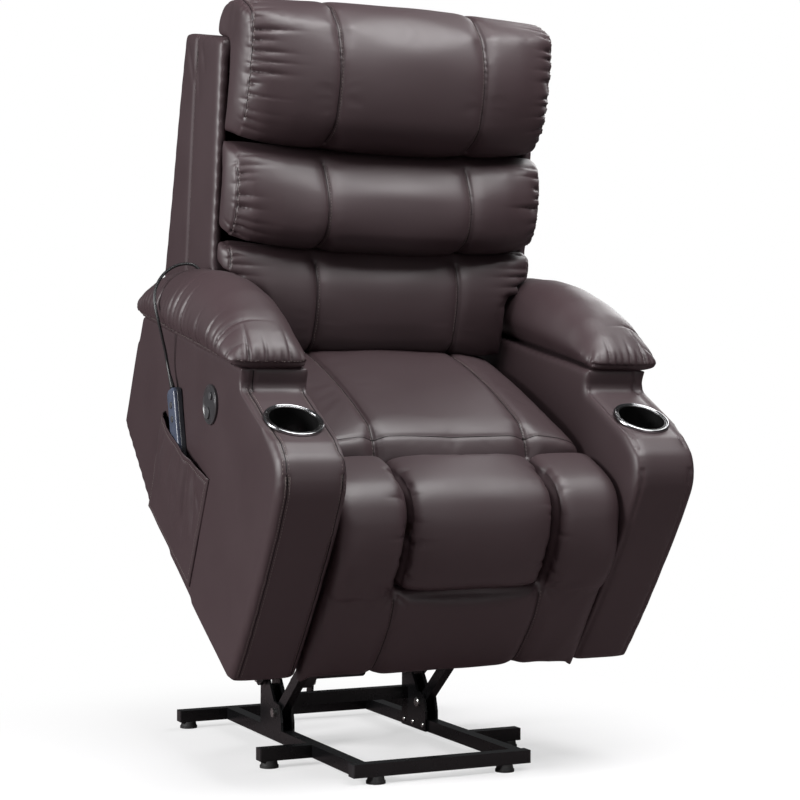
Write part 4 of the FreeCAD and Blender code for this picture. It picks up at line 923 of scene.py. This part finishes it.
WRAP_FROM = 0.235               # outwards of this the cover is drawn round the board behind it
WRAP_TO = 0.2925
COVER_HALF = 0.2872             # the arms stand at 0.288
WRAP_REAR = 0.048               # how far the outermost cover is drawn back beside the board
WRAP_DOWN = 0.009               # how far its bottom corners come down


def wrap_board(obj):
    """Draws the cover's outer edges round the board, so neither wood nor daylight shows beside the arms."""
    points, _ = arrays(obj)
    x, y, z = points.T.copy()
    wide = np.abs(x)
    below = np.clip((0.345 - z) / 0.03, 0.0, 1.0)
    share = np.clip((wide - WRAP_FROM) / (wide.max() - WRAP_FROM), 0.0, 1.0)
    full = WRAP_FROM + (WRAP_TO - WRAP_FROM) * np.sqrt(share)
    rear = np.clip((y + 0.030) / 0.025, 0.0, 1.0) * below * (share > 0.0)
    wide += np.maximum(full - wide, 0.0) * rear
    points[:, 0] = np.sign(x) * np.minimum(wide, COVER_HALF)
    outer = np.clip((share - 0.45) / 0.30, 0.0, 1.0)
    points[:, 1] += WRAP_REAR * outer * np.clip((y + 0.008) / 0.014, 0.0, 1.0) * below
    points[:, 2] -= WRAP_DOWN * outer * np.clip((0.030 - z) / 0.030, 0.0, 1.0)
    put_points(obj, points)


def on_front(tree, *spots):
    """A line on the footrest's front through (x, z) places."""
    return project(tree, [(x, -0.3, z) for x, z in spots], (0, 1, 0))


def column_edge(tree, x):
    """A line up the front beside the middle column, from its foot over the top roll."""
    front = on_front(tree, (x, FOOT_SEAM_TOP + 0.004), (x, FOOT_ROLL[1]))
    return resample(front + around(tree, x, FOOT_ROLL, 1, 92), LINE_STEP)


def foot_edge(tree, half, z):
    """A line along the middle column's foot, half its length to each side."""
    return on_front(tree, (-half, z), (half, z))


cover = soft_copy("footrest_cover", SIDE_SOLIDS, 0.006, cap=0.008, smooth=5, shape=fill_corners)
unevenness(cover, size=0.15, height=0.0030, seed=7)
wrap_board(cover)
tree = surface(cover)
EDGE_STEP = 0.005               # from the dark gap to the sewn edge on either side of it
# creases that the gap's corner pulls into the cover: outwards, up and depth
CORNER_PULLS = ((0.032, 0.020, 0.0040), (0.036, -0.004, 0.0035), (0.026, -0.032, 0.0032),
                (-0.026, -0.024, 0.0025))
for side in (-1, 1):
    edge = column_edge(tree, side * (FOOT_SEAM + EDGE_STEP))
    gather(cover, edge, (side, 0, 0), pitch=0.036, reach=0.024, depth=0.0060, seed=35 + side)
    sink(cover, edge, depth=0.0060, width=0.012)
    seam = on_front(tree, (side * FOOT_SEAM, FOOT_SEAM_TOP - 0.004), (side * FOOT_SEAM, 0.004))
    sew(cover, seam, groove=(0.0038, 0.0036), hollow=(0.0012, 0.012))
    for out, up, depth in CORNER_PULLS:
        pull = on_front(tree, (side * (FOOT_SEAM + 0.008), FOOT_SEAM_TOP),
                        (side * (FOOT_SEAM + out), FOOT_SEAM_TOP + up))
        sink(cover, pull, depth, width=0.0042, fade=0.02)
sink(cover, foot_edge(tree, FOOT_SEAM, FOOT_SEAM_TOP - EDGE_STEP), depth=0.0035, width=0.010)
tree = surface(cover)
for side in (-1, 1):
    seam = on_front(tree, (side * FOOT_SEAM, FOOT_SEAM_TOP - 0.014), (side * FOOT_SEAM, 0.008))
    dress_seam("footrest", tree, seam, side * 0.005)
hand_over(cover, "footrest", SIDE_SOLIDS, leather)

# %% Footrest's middle column
column = soft_copy("footrest_middle_cover", ("footrest_pad_middle",), 0.005, cap=0.007, smooth=5)
unevenness(column, size=0.14, height=0.0030, seed=9)
tree = surface(column)
for side in (-1, 1):
    edge = column_edge(tree, side * (FOOT_SEAM - EDGE_STEP))
    gather(column, edge, (-side, 0, 0), pitch=0.033, reach=0.026, depth=0.0065, seed=31 + side)
    sink(column, edge, depth=0.0060, width=0.013)
sink(column, foot_edge(tree, FOOT_SEAM - EDGE_STEP, FOOT_SEAM_TOP + EDGE_STEP), depth=0.0045, width=0.010)
hand_over(column, "footrest", ["footrest_pad_middle"], leather)

# %% [markdown]
# ## Arms
# Each arm is a wooden box in a tight cover: a deck and front panel run between an outer and an inner seam.
# One arm is covered and its mirror image makes the other, so both sides match.

# %% Mirror a piece
def mirror_copy(obj, name):
    """The same piece on the other side of the chair, with its faces turned outwards again."""
    twin = obj.copy()
    twin.name = name
    twin.data = obj.data.copy()
    scene.collection.objects.link(twin)
    twin.data.transform(Matrix.Scale(-1.0, 4, (1, 0, 0)))
    twin.data.flip_normals()
    return twin


WELT_STEP = 0.008


def welt(name, line, radius):
    """A thin round piping sewn along a line given in level axes."""
    curve = bpy.data.curves.new(name, "CURVE")
    curve.dimensions = "3D"
    path = curve.splines.new("POLY")
    spots = resample(line, WELT_STEP)
    path.points.add(len(spots) - 1)
    for point, spot in zip(path.points, spots):
        point.co = spot.to_4d()
    curve.bevel_depth = radius
    curve.bevel_resolution = 2
    curve.use_fill_caps = True
    obj = bpy.data.objects.new(name, curve)
    scene.collection.objects.link(obj)
    only(obj)
    bpy.ops.object.convert(target="MESH")
    return bpy.context.object


# %% Arm covers
ARM_IN = 0.288
ARM_OUT = 0.420
ARM_DECK_Z = 0.488
ARM_DECK_REAR = 0.208
OUTER_SEAM = 0.017      # from the arm's outer side to its outer seam
INNER_SEAM = 0.012
CUP_X = 0.355
CUP_Y = 0.095
CUP_RIM_R = 0.055
LEVEL_ROUND_CUP = (0.022, 0.016)    # the level ring's width outside the rim, and the width of its blend
CUP_BED = 0.0006                    # how far the level ring lies under the deck


def arm_seam(tree, x):
    """The seam over the deck, round the nose and down the front, at x."""
    deck = project(tree, [(x, ARM_DECK_REAR - 0.004, 0.8), (x, 0.004, 0.8)], (0, 0, -1))
    nose = project(tree, [(x, -0.3, 0.8), (x, -0.3, 0.75)], (0, 0.62, -0.78))
    front = project(tree, [(x, -0.4, 0.452), (x, -0.4, 0.006)], (0, 1, 0))
    return resample(deck + nose[-1:] + front, LINE_STEP)


arm = soft_copy("arm_cover_left", ("arm_left",), 0.0075, smooth=3)
unevenness(arm, size=0.20, height=0.0022, seed=11)
points, _ = arrays(arm)
beside = np.hypot(points[:, 0] + CUP_X, points[:, 1] - CUP_Y)
under_rim = np.clip((CUP_RIM_R + LEVEL_ROUND_CUP[0] - beside) / LEVEL_ROUND_CUP[1], 0.0, 1.0)
under_rim *= points[:, 2] > ARM_DECK_Z - 0.012
points[:, 2] -= under_rim * np.maximum(points[:, 2] - (ARM_DECK_Z - CUP_BED), 0.0)
put_points(arm, points)
tree = surface(arm)
outer_line = arm_seam(tree, -(ARM_OUT - OUTER_SEAM))
inner_line = arm_seam(tree, -(ARM_IN + INNER_SEAM))
for line in (outer_line, inner_line):
    sew(arm, line, groove=(0.0024, 0.0035), hollow=(0.0010, 0.012))
fascia = project(tree, [(-0.397, -0.3, 0.526), (-0.397, -0.3, 0.490)], (0, 1, 0))
sink(arm, fascia, depth=0.0035, width=0.0035)
tree = surface(arm)
dress_seam("chair", tree, outer_line, 0.0035, -0.0035)
dress_seam("chair", tree, inner_line, -0.0045)
dress_seam("chair", tree, fascia)
arm_right = mirror_copy(arm, "arm_cover_right")
hand_over(arm, "chair", ["arm_left"], leather)
hand_over(arm_right, "chair", ["arm_right"], leather)

# %% [markdown]
# ## Arm pads
# The pad is a thick dome whose cover is gathered onto its lower seam. The pleats fan up from the outer edge
# and from the front edge, each a little different, and fade out over the top.

# %% Arm pads
PAD_OUT = 0.450
PAD_FRONT = (0.214, 0.528)    # y, z where the arm's sloping top starts
PAD_REAR = (0.793, 0.342)


def pad_base(y):
    """Height of the arm's sloping top at y."""
    share = (y - PAD_FRONT[0]) / (PAD_REAR[0] - PAD_FRONT[0])
    return PAD_FRONT[1] + share * (PAD_REAR[1] - PAD_FRONT[1])


PAD_EDGE = (0.240, 0.530, 24)  # y where the edge line starts, its length and its steps
PIPING_R = 0.0022


def pad_side(tree, above):
    """A line along the pad's outer side, this far above the arm's sloping top."""
    start, run, steps = PAD_EDGE
    ys = [start + run * k / steps for k in range(steps + 1)]
    return project(tree, [(-0.7, y, pad_base(y) + above) for y in ys], (1, 0, 0))


def pad_edges(tree):
    """The sewn edges along the pad's outer side and across its front."""
    front = project(tree, [(-PAD_OUT + 0.020, -0.2, 0.540), (-0.300, -0.2, 0.540)], (0, 1, 0))
    return pad_side(tree, 0.013), front


pad = soft_copy("arm_pad_cover_left", ("arm_pad_left",), 0.0055, shrink=0.001, cap=0.008, smooth=9)
unevenness(pad, size=0.11, height=0.0025, seed=13)
outer_edge, front_edge = pad_edges(surface(pad))
gather(pad, outer_edge, (0.25, 0.15, 0.95), pitch=0.022, reach=0.066, depth=0.0135, seed=51, slant=0.10)
gather(pad, front_edge, (0, 0.4, 0.9), pitch=0.0175, reach=0.044, depth=0.0105, seed=57)
sink(pad, outer_edge, depth=0.0030, width=0.0035)
sink(pad, front_edge, depth=0.0030, width=0.0035)
tree = surface(pad)
for line in pad_edges(tree):
    stitch("chair", tree, line, 0.004)
pad_welt = welt("arm_pad_piping_left", pad_side(tree, 0.004), PIPING_R)
pad_right = mirror_copy(pad, "arm_pad_cover_right")
welt_right = mirror_copy(pad_welt, "arm_pad_piping_right")
hand_over(pad, "chair", ["arm_pad_left"], leather)
hand_over(pad_right, "chair", ["arm_pad_right"], leather)
hand_over(pad_welt, "chair", None, leather)
hand_over(welt_right, "chair", None, leather)

# %% [markdown]
# ## Back shell
# The back is a covered frame whose sides come forward as wings beside the cushions.
# A seam runs down each wing, level with the middle of its depth, and a few slack folds start at its top.

# %% Back shell cover
SHELL_DROP = 0.020              # how far the lower edge is carried down
SHELL_DROP_OVER = 0.030         # over the last stretch of this length


def lengthen_shell(obj):
    """Carries the shell's lower edge down behind the arm pads."""
    points, _ = arrays(obj)
    across = Vector((-0.489, -0.872))          # square to the lower edge
    depth = (points[:, 1] - SHELL_FRONT[0]) * across[0] + (points[:, 2] - SHELL_FRONT[1]) * across[1]
    share = np.clip((depth + SHELL_DROP_OVER) / SHELL_DROP_OVER, 0.0, 1.0)[:, None]
    put_points(obj, points + share * SHELL_DROP * np.array([0.0, across[0], across[1]]))


WING_SEAM = ((0.945, 0.905), (0.752, 0.405))        # (y, z) at both ends, and so for each fold
REAR_SEAM_X = 0.315
REAR_FOLDS = (((0.985, 0.865), (0.905, 0.800)), ((0.940, 0.885), (0.862, 0.790)),
              ((0.905, 0.895), (0.850, 0.850)))


def on_wing(tree, side, places):
    """A line on a wing's outer face through (y, z) places."""
    return project(tree, [(side * 0.7, y, z) for y, z in places], (-side, 0, 0))


def rear_seam(tree, side):
    return project(tree, [(side * REAR_SEAM_X, 1.4, 0.84), (side * REAR_SEAM_X, 1.3, 0.40)], (0, -1, 0))


shell = soft_copy("back_shell_cover", ("back_shell",), 0.0096, smooth=3, shape=lengthen_shell)
unevenness(shell, size=0.18, height=0.0018, seed=17)
tree = surface(shell)
for side in (-1, 1):
    sew(shell, on_wing(tree, side, WING_SEAM), groove=(0.0042, 0.0046), hollow=(0.0014, 0.014))
    for places in REAR_FOLDS:
        sink(shell, on_wing(tree, side, places), depth=0.0032, width=0.007, fade=0.04)
    sink(shell, rear_seam(tree, side), depth=0.0025, width=0.004)
tree = surface(shell)
for side in (-1, 1):
    dress_seam("backrest", tree, on_wing(tree, side, WING_SEAM), 0.006)
    dress_seam("backrest", tree, rear_seam(tree, side), 0.005)
hand_over(shell, "backrest", ["back_shell"], leather)

# %% [markdown]
# ## Pocket
# A patch pocket of the same leather is sewn to the arm's side. The handset pulls its mouth open,
# so folds run down from the front of the mouth and the sewn hem stands off the arm.

# %% Side pocket
ARM_SIDE = 0.420
POCKET_Y = (0.267, 0.560)         # front and rear edge
POCKET_LOW = 0.024
POCKET_TOP = (0.265, 0.247)       # height of the mouth at the front and the rear edge
POCKET_FLAT = 0.005               # depth where the pocket lies on the arm
POCKET_BELLY_Z = (0.045, 0.205)   # between these heights the handset bellies the pocket out
POCKET_BELLY = ((0.0, 0.005), (0.24, 0.014), (0.38, 0.0215), (0.74, 0.0215), (0.88, 0.016), (1.0, 0.009))
POCKET_WALL = 0.0016
POCKET_SEWN = (0.0012, 0.9)       # depth at the sewn edges, and how steeply it may rise beside them
POCKET_GRID = (150, 120)          # columns and rows of the sheet


def smooth_share(value):
    value = min(max(value, 0.0), 1.0)
    return value * value * (3 - 2 * value)


def belly(share):
    """Depth of the mouth at a share of the width, as a smooth curve through the known depths."""
    for (a, low), (b, high) in zip(POCKET_BELLY, POCKET_BELLY[1:]):
        if share <= b:
            return low + (high - low) * smooth_share((share - a) / (b - a))
    return POCKET_BELLY[-1][1]


def mouth_z(u):
    return POCKET_TOP[0] + u * (POCKET_TOP[1] - POCKET_TOP[0])


def pocket_point(u, v):
    """A point of the sheet: u runs back, v runs up from the sewn foot."""
    y = POCKET_Y[0] + u * (POCKET_Y[1] - POCKET_Y[0])
    z = POCKET_LOW + v * (mouth_z(u) - POCKET_LOW)
    bulge = smooth_share((z - POCKET_BELLY_Z[0]) / (POCKET_BELLY_Z[1] - POCKET_BELLY_Z[0]))
    depth = POCKET_FLAT + (belly(u) - POCKET_FLAT) * bulge
    near = min(u, 1.0 - u, v) * (POCKET_Y[1] - POCKET_Y[0])
    depth = min(depth, POCKET_SEWN[0] + near * POCKET_SEWN[1])       # the sewn edges lie on the arm
    return Vector((-(ARM_SIDE + depth), y, z))


columns, rows = POCKET_GRID
per_row = columns + 1
sheet_points = [tuple(pocket_point(i / columns, j / rows)) for j in range(rows + 1) for i in range(per_row)]
sheet_faces = [(j * per_row + i, j * per_row + i + 1, (j + 1) * per_row + i + 1, (j + 1) * per_row + i)
               for j in range(rows) for i in range(columns)]
pocket_data = bpy.data.meshes.new("side_pocket_cover")
pocket_data.from_pydata(sheet_points, [], sheet_faces)
pocket_data.flip_normals()
pocket = bpy.data.objects.new("side_pocket_cover", pocket_data)
scene.collection.objects.link(pocket)
tree = surface(pocket)


def on_pocket(*points):
    """A line on the pocket's outer face through (y, z) points."""
    return project(tree, [(-0.7, y, z) for y, z in points], (1, 0, 0))


POCKET_EDGE = 0.008               # from the pocket's outline to its stitches
HEM = 0.011
mouth = [(y, mouth_z((y - POCKET_Y[0]) / (POCKET_Y[1] - POCKET_Y[0])))
         for y in (POCKET_Y[0] + POCKET_EDGE, POCKET_Y[1] - 0.006)]
hem = [(y, z - HEM) for y, z in mouth]
FOLDS = (   # (y, z) at the mouth, (y, z) at the foot, depth and half width
    ((0.330, 0.262), (0.292, 0.120), 0.0050, 0.008), ((0.352, 0.262), (0.345, 0.085), 0.0055, 0.009),
    ((0.385, 0.258), (0.402, 0.110), 0.0045, 0.008), ((0.425, 0.256), (0.462, 0.140), 0.0040, 0.010),
    ((0.480, 0.252), (0.530, 0.160), 0.0030, 0.009), ((0.312, 0.225), (0.276, 0.180), 0.0032, 0.006),
)
for a, b, depth, width in FOLDS:
    sink(pocket, on_pocket(a, b), depth, width, fade=0.05)
unevenness(pocket, size=0.05, height=0.0014, seed=19)
near_y, far_y = POCKET_Y[0] + POCKET_EDGE, POCKET_Y[1] - POCKET_EDGE
edge_line = on_pocket((near_y, mouth[0][1] - 0.004), (near_y, POCKET_LOW + POCKET_EDGE),
                      (far_y, POCKET_LOW + POCKET_EDGE), (far_y, mouth[1][1] - 0.004))
for line in (on_pocket(*hem), edge_line):
    sink(pocket, line, depth=0.0012, width=0.0024)
tree = surface(pocket)
for line in (on_pocket(*hem), edge_line):
    stitch("chair", tree, line)
apply_modifier(pocket, "SOLIDIFY", thickness=POCKET_WALL, offset=-1.0)
hand_over(pocket, "chair", ["side_pocket"], leather)

# %% [markdown]
# ## Cup holders
# A cup holder is a deep black cup with a rolled metal rim. Both are turned from a profile.

# %% Turn a profile
CUP_BORE_R = 0.0445
CUP_DEPTH = 0.080
CUP_WALL = 0.002


def turned(name, profile, at, axis="Z", steps=72):
    """A mesh turned from (radius, height) points about an upright axis through at, in level axes."""
    data = bpy.data.meshes.new(name)
    obj = bpy.data.objects.new(name, data)
    scene.collection.objects.link(obj)
    data.from_pydata([(r, 0.0, h) for r, h in profile], [(k, k + 1) for k in range(len(profile) - 1)], [])
    only(obj)
    bpy.ops.object.mode_set(mode="EDIT")
    bpy.ops.mesh.select_all(action="SELECT")
    bpy.ops.mesh.spin(steps=steps, angle=2 * math.pi, center=(0, 0, 0), axis=(0, 0, 1), use_auto_merge=True)
    bpy.ops.mesh.select_all(action="SELECT")
    bpy.ops.mesh.remove_doubles(threshold=0.00001)
    bpy.ops.mesh.normals_make_consistent(inside=False)
    bpy.ops.object.mode_set(mode="OBJECT")
    turn = {"Z": Matrix.Identity(4), "X": Matrix.Rotation(-math.pi / 2, 4, "Y")}[axis]
    data.transform(Matrix.Translation(at) @ turn)
    return obj


def arc(centre, radius, start, stop, count=6):
    """Profile points round a centre, by angle in degrees from outwards."""
    angles = [math.radians(start + (stop - start) * k / count) for k in range(count + 1)]
    return [(centre[0] + radius * math.cos(a), centre[1] + radius * math.sin(a)) for a in angles]


# %% Cups and rims
CUP_PROFILE = (
    [(0.0, -CUP_DEPTH), (CUP_BORE_R - 0.008, -CUP_DEPTH)]
    + arc((CUP_BORE_R - 0.008, -CUP_DEPTH + 0.008), 0.008, -80, 0, 4)
    + [(CUP_BORE_R, -0.020), (CUP_BORE_R, 0.0015)] + arc((CUP_BORE_R + 0.0013, 0.0018), 0.0013, 180, 20, 5)
    + [(CUP_BORE_R + 0.0026, 0.0004), (CUP_BORE_R + CUP_WALL, -0.002),
       (CUP_BORE_R + CUP_WALL, -CUP_DEPTH - 0.002), (0.0, -CUP_DEPTH - 0.002)])
RIM_PROFILE = (
    [(CUP_BORE_R + 0.0030, 0.0006)] + arc((CUP_BORE_R + 0.0045, 0.0020), 0.0013, 190, 20, 5)
    + [(CUP_BORE_R + 0.0064, 0.0016)] + arc((CUP_RIM_R - 0.0030, 0.0022), 0.0024, 150, 0, 7)
    + [(CUP_RIM_R, 0.0012), (CUP_RIM_R, 0.0001), (CUP_BORE_R + 0.0030, 0.0001),
       (CUP_BORE_R + 0.0030, 0.0006)])
for side, label in ((-1, "left"), (1, "right")):
    at = Vector((side * CUP_X, CUP_Y, ARM_DECK_Z))
    cup = turned("cup_" + label, CUP_PROFILE, at)
    rim = turned("cup_rim_" + label, RIM_PROFILE, at)
    hand_over(cup, "chair", ["cup_holder_" + label], cup_plastic, angle=35)
    hand_over(rim, "chair", None, chrome, angle=35)

# %% [markdown]
# ## Control plate
# A round dark grey plate with a raised edge and a shallow ring sits in the left arm's side.
# It has two keys of its own.

# %% Control plate
PLATE_AT = Vector((-ARM_SIDE, 0.327, 0.391))
PLATE_R = 0.0375
PLATE_T = 0.005
plate_grey = finish("control_plate_grey", (0.028, 0.027, 0.029), (0.045, 0.044, 0.047), 0.32, 0.12, bump=0.05,
                    inputs={"Size": 0.02})
PLATE_PROFILE = (
    [(0.0, 0.0), (PLATE_R, 0.0), (PLATE_R, PLATE_T - 0.0020)]
    + arc((PLATE_R - 0.0016, PLATE_T - 0.0018), 0.0016, 0, 150, 6)
    + [(PLATE_R - 0.0040, PLATE_T - 0.0018), (PLATE_R - 0.0085, PLATE_T - 0.0014),
       (PLATE_R - 0.0093, PLATE_T - 0.0019), (PLATE_R - 0.0101, PLATE_T - 0.0014), (0.0, PLATE_T - 0.0010)])
print("left plate:", tuple(round(c, 3) for c in PLATE_AT))
plate = turned("control_plate_face", PLATE_PROFILE, PLATE_AT, axis="X")
KEY_STEP = 0.018
KEY_HOLES = ((KEY_STEP, 0.0075), (-KEY_STEP, 0.0115))   # up from the middle, radius round each key


def key_hole(obj, at, radius, depth=0.02):
    """Cuts a round hole through a face that looks sideways."""
    bpy.ops.mesh.primitive_cylinder_add(vertices=48, radius=radius, depth=depth, location=at,
                                        rotation=(0, math.pi / 2, 0))
    cutter = bpy.context.object
    bpy.ops.object.transform_apply(location=True, rotation=True, scale=True)
    apply_modifier(obj, "BOOLEAN", operation="DIFFERENCE", object=cutter, solver="EXACT")
    bpy.data.objects.remove(cutter)


for up, radius in KEY_HOLES:
    key_hole(plate, PLATE_AT + Vector((0, 0, up)), radius)
hand_over(plate, "chair", ["control_plate"], plate_grey, angle=30)

# %% [markdown]
# ## Handset
# The handset is two mouldings: a dark rear shell and a blue-grey face with two round keys.

# %% Handset
HANDSET_TOP = (0.511, 0.324)
HANDSET_ANGLE = math.radians(46.0)      # slope of its length below level
HANDSET_LEN = 0.160
HANDSET_W = 0.044
HANDSET_IN = 0.4225
HANDSET_OUT = 0.4385
HANDSET_SPLIT = 0.0085                  # thickness of the rear shell
HANDSET_KEYS = ((0.034, 0.0068), (0.062, 0.0068))
CORNER = 0.014


def handset_spot(along, across):
    """(y, z) of a place on the handset, down from its top and across it."""
    down = Vector((-math.cos(HANDSET_ANGLE), -math.sin(HANDSET_ANGLE)))
    side = Vector((math.sin(HANDSET_ANGLE), -math.cos(HANDSET_ANGLE))) * -1.0
    return Vector(HANDSET_TOP) + down * along + side * across


ARC_STEPS = 8


def slab(name, near, far, margin, rounding):
    """A slab in the handset's outline from near to far out from the chair's middle, with a rounded rim."""
    half = HANDSET_W / 2 - margin
    corner = CORNER - margin
    top, foot = margin + corner, HANDSET_LEN - margin - corner
    centres = ((top, -half + corner, 180), (top, half - corner, 90),
               (foot, half - corner, 0), (foot, -half + corner, 270))
    outline = []
    for along, across, start in centres:
        for k in range(ARC_STEPS + 1):
            a = math.radians(start + 90 - k * 90 / ARC_STEPS)
            outline.append(handset_spot(along + corner * math.cos(a), across + corner * math.sin(a)))
    mesh = bmesh.new()
    inner = mesh.faces.new([mesh.verts.new((-near, *spot)) for spot in outline])
    wall = bmesh.ops.extrude_face_region(mesh, geom=[inner])
    moved = [v for v in wall["geom"] if isinstance(v, bmesh.types.BMVert)]
    bmesh.ops.translate(mesh, verts=moved, vec=(near - far, 0, 0))
    rim = [e for e in mesh.edges if all(v in moved for v in e.verts)]
    bmesh.ops.bevel(mesh, geom=rim, offset=rounding, segments=4, profile=0.5, affect="EDGES")
    bmesh.ops.recalc_face_normals(mesh, faces=mesh.faces)
    data = bpy.data.meshes.new(name)
    mesh.to_mesh(data)
    mesh.free()
    obj = bpy.data.objects.new(name, data)
    scene.collection.objects.link(obj)
    return obj


shell_back = slab("handset_back", HANDSET_IN, HANDSET_IN + HANDSET_SPLIT, 0.0, 0.0008)
face = slab("handset_face", HANDSET_IN + HANDSET_SPLIT + 0.0003, HANDSET_OUT, 0.0006, 0.0032)
for along, radius in HANDSET_KEYS:
    spot = handset_spot(along, 0.0)
    key_hole(face, Vector((-HANDSET_OUT, *spot)), radius, 0.010)
hand_over(shell_back, "chair", ["handset"], handset_dark, angle=30)
hand_over(face, "chair", None, handset_face, angle=30)

# %% [markdown]
# ## Thread
# All stitches that ride on one body are one mesh, and so are the near-black tubes of painted shade at the
# bottom of the seams.

# %% Thread and painted seam shade meshes
def row_mesh(name, body, rows, material):
    points, faces = rows
    data = bpy.data.meshes.new(name + "_" + body)
    data.from_pydata([tuple(p) for p in points], [], faces)
    obj = bpy.data.objects.new(data.name, data)
    scene.collection.objects.link(obj)
    data.materials.append(material)
    only(obj)
    bpy.ops.object.shade_smooth()
    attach(obj, body)
    print(obj.name, len(points), "points")


for body, rows in thread_rows.items():
    row_mesh("thread", body, rows, thread)
# the near-black tubes that paint the shade in the seams
for body, rows in painted_shade_rows.items():
    row_mesh("painted_seam_shade", body, rows, painted_seam_shade)
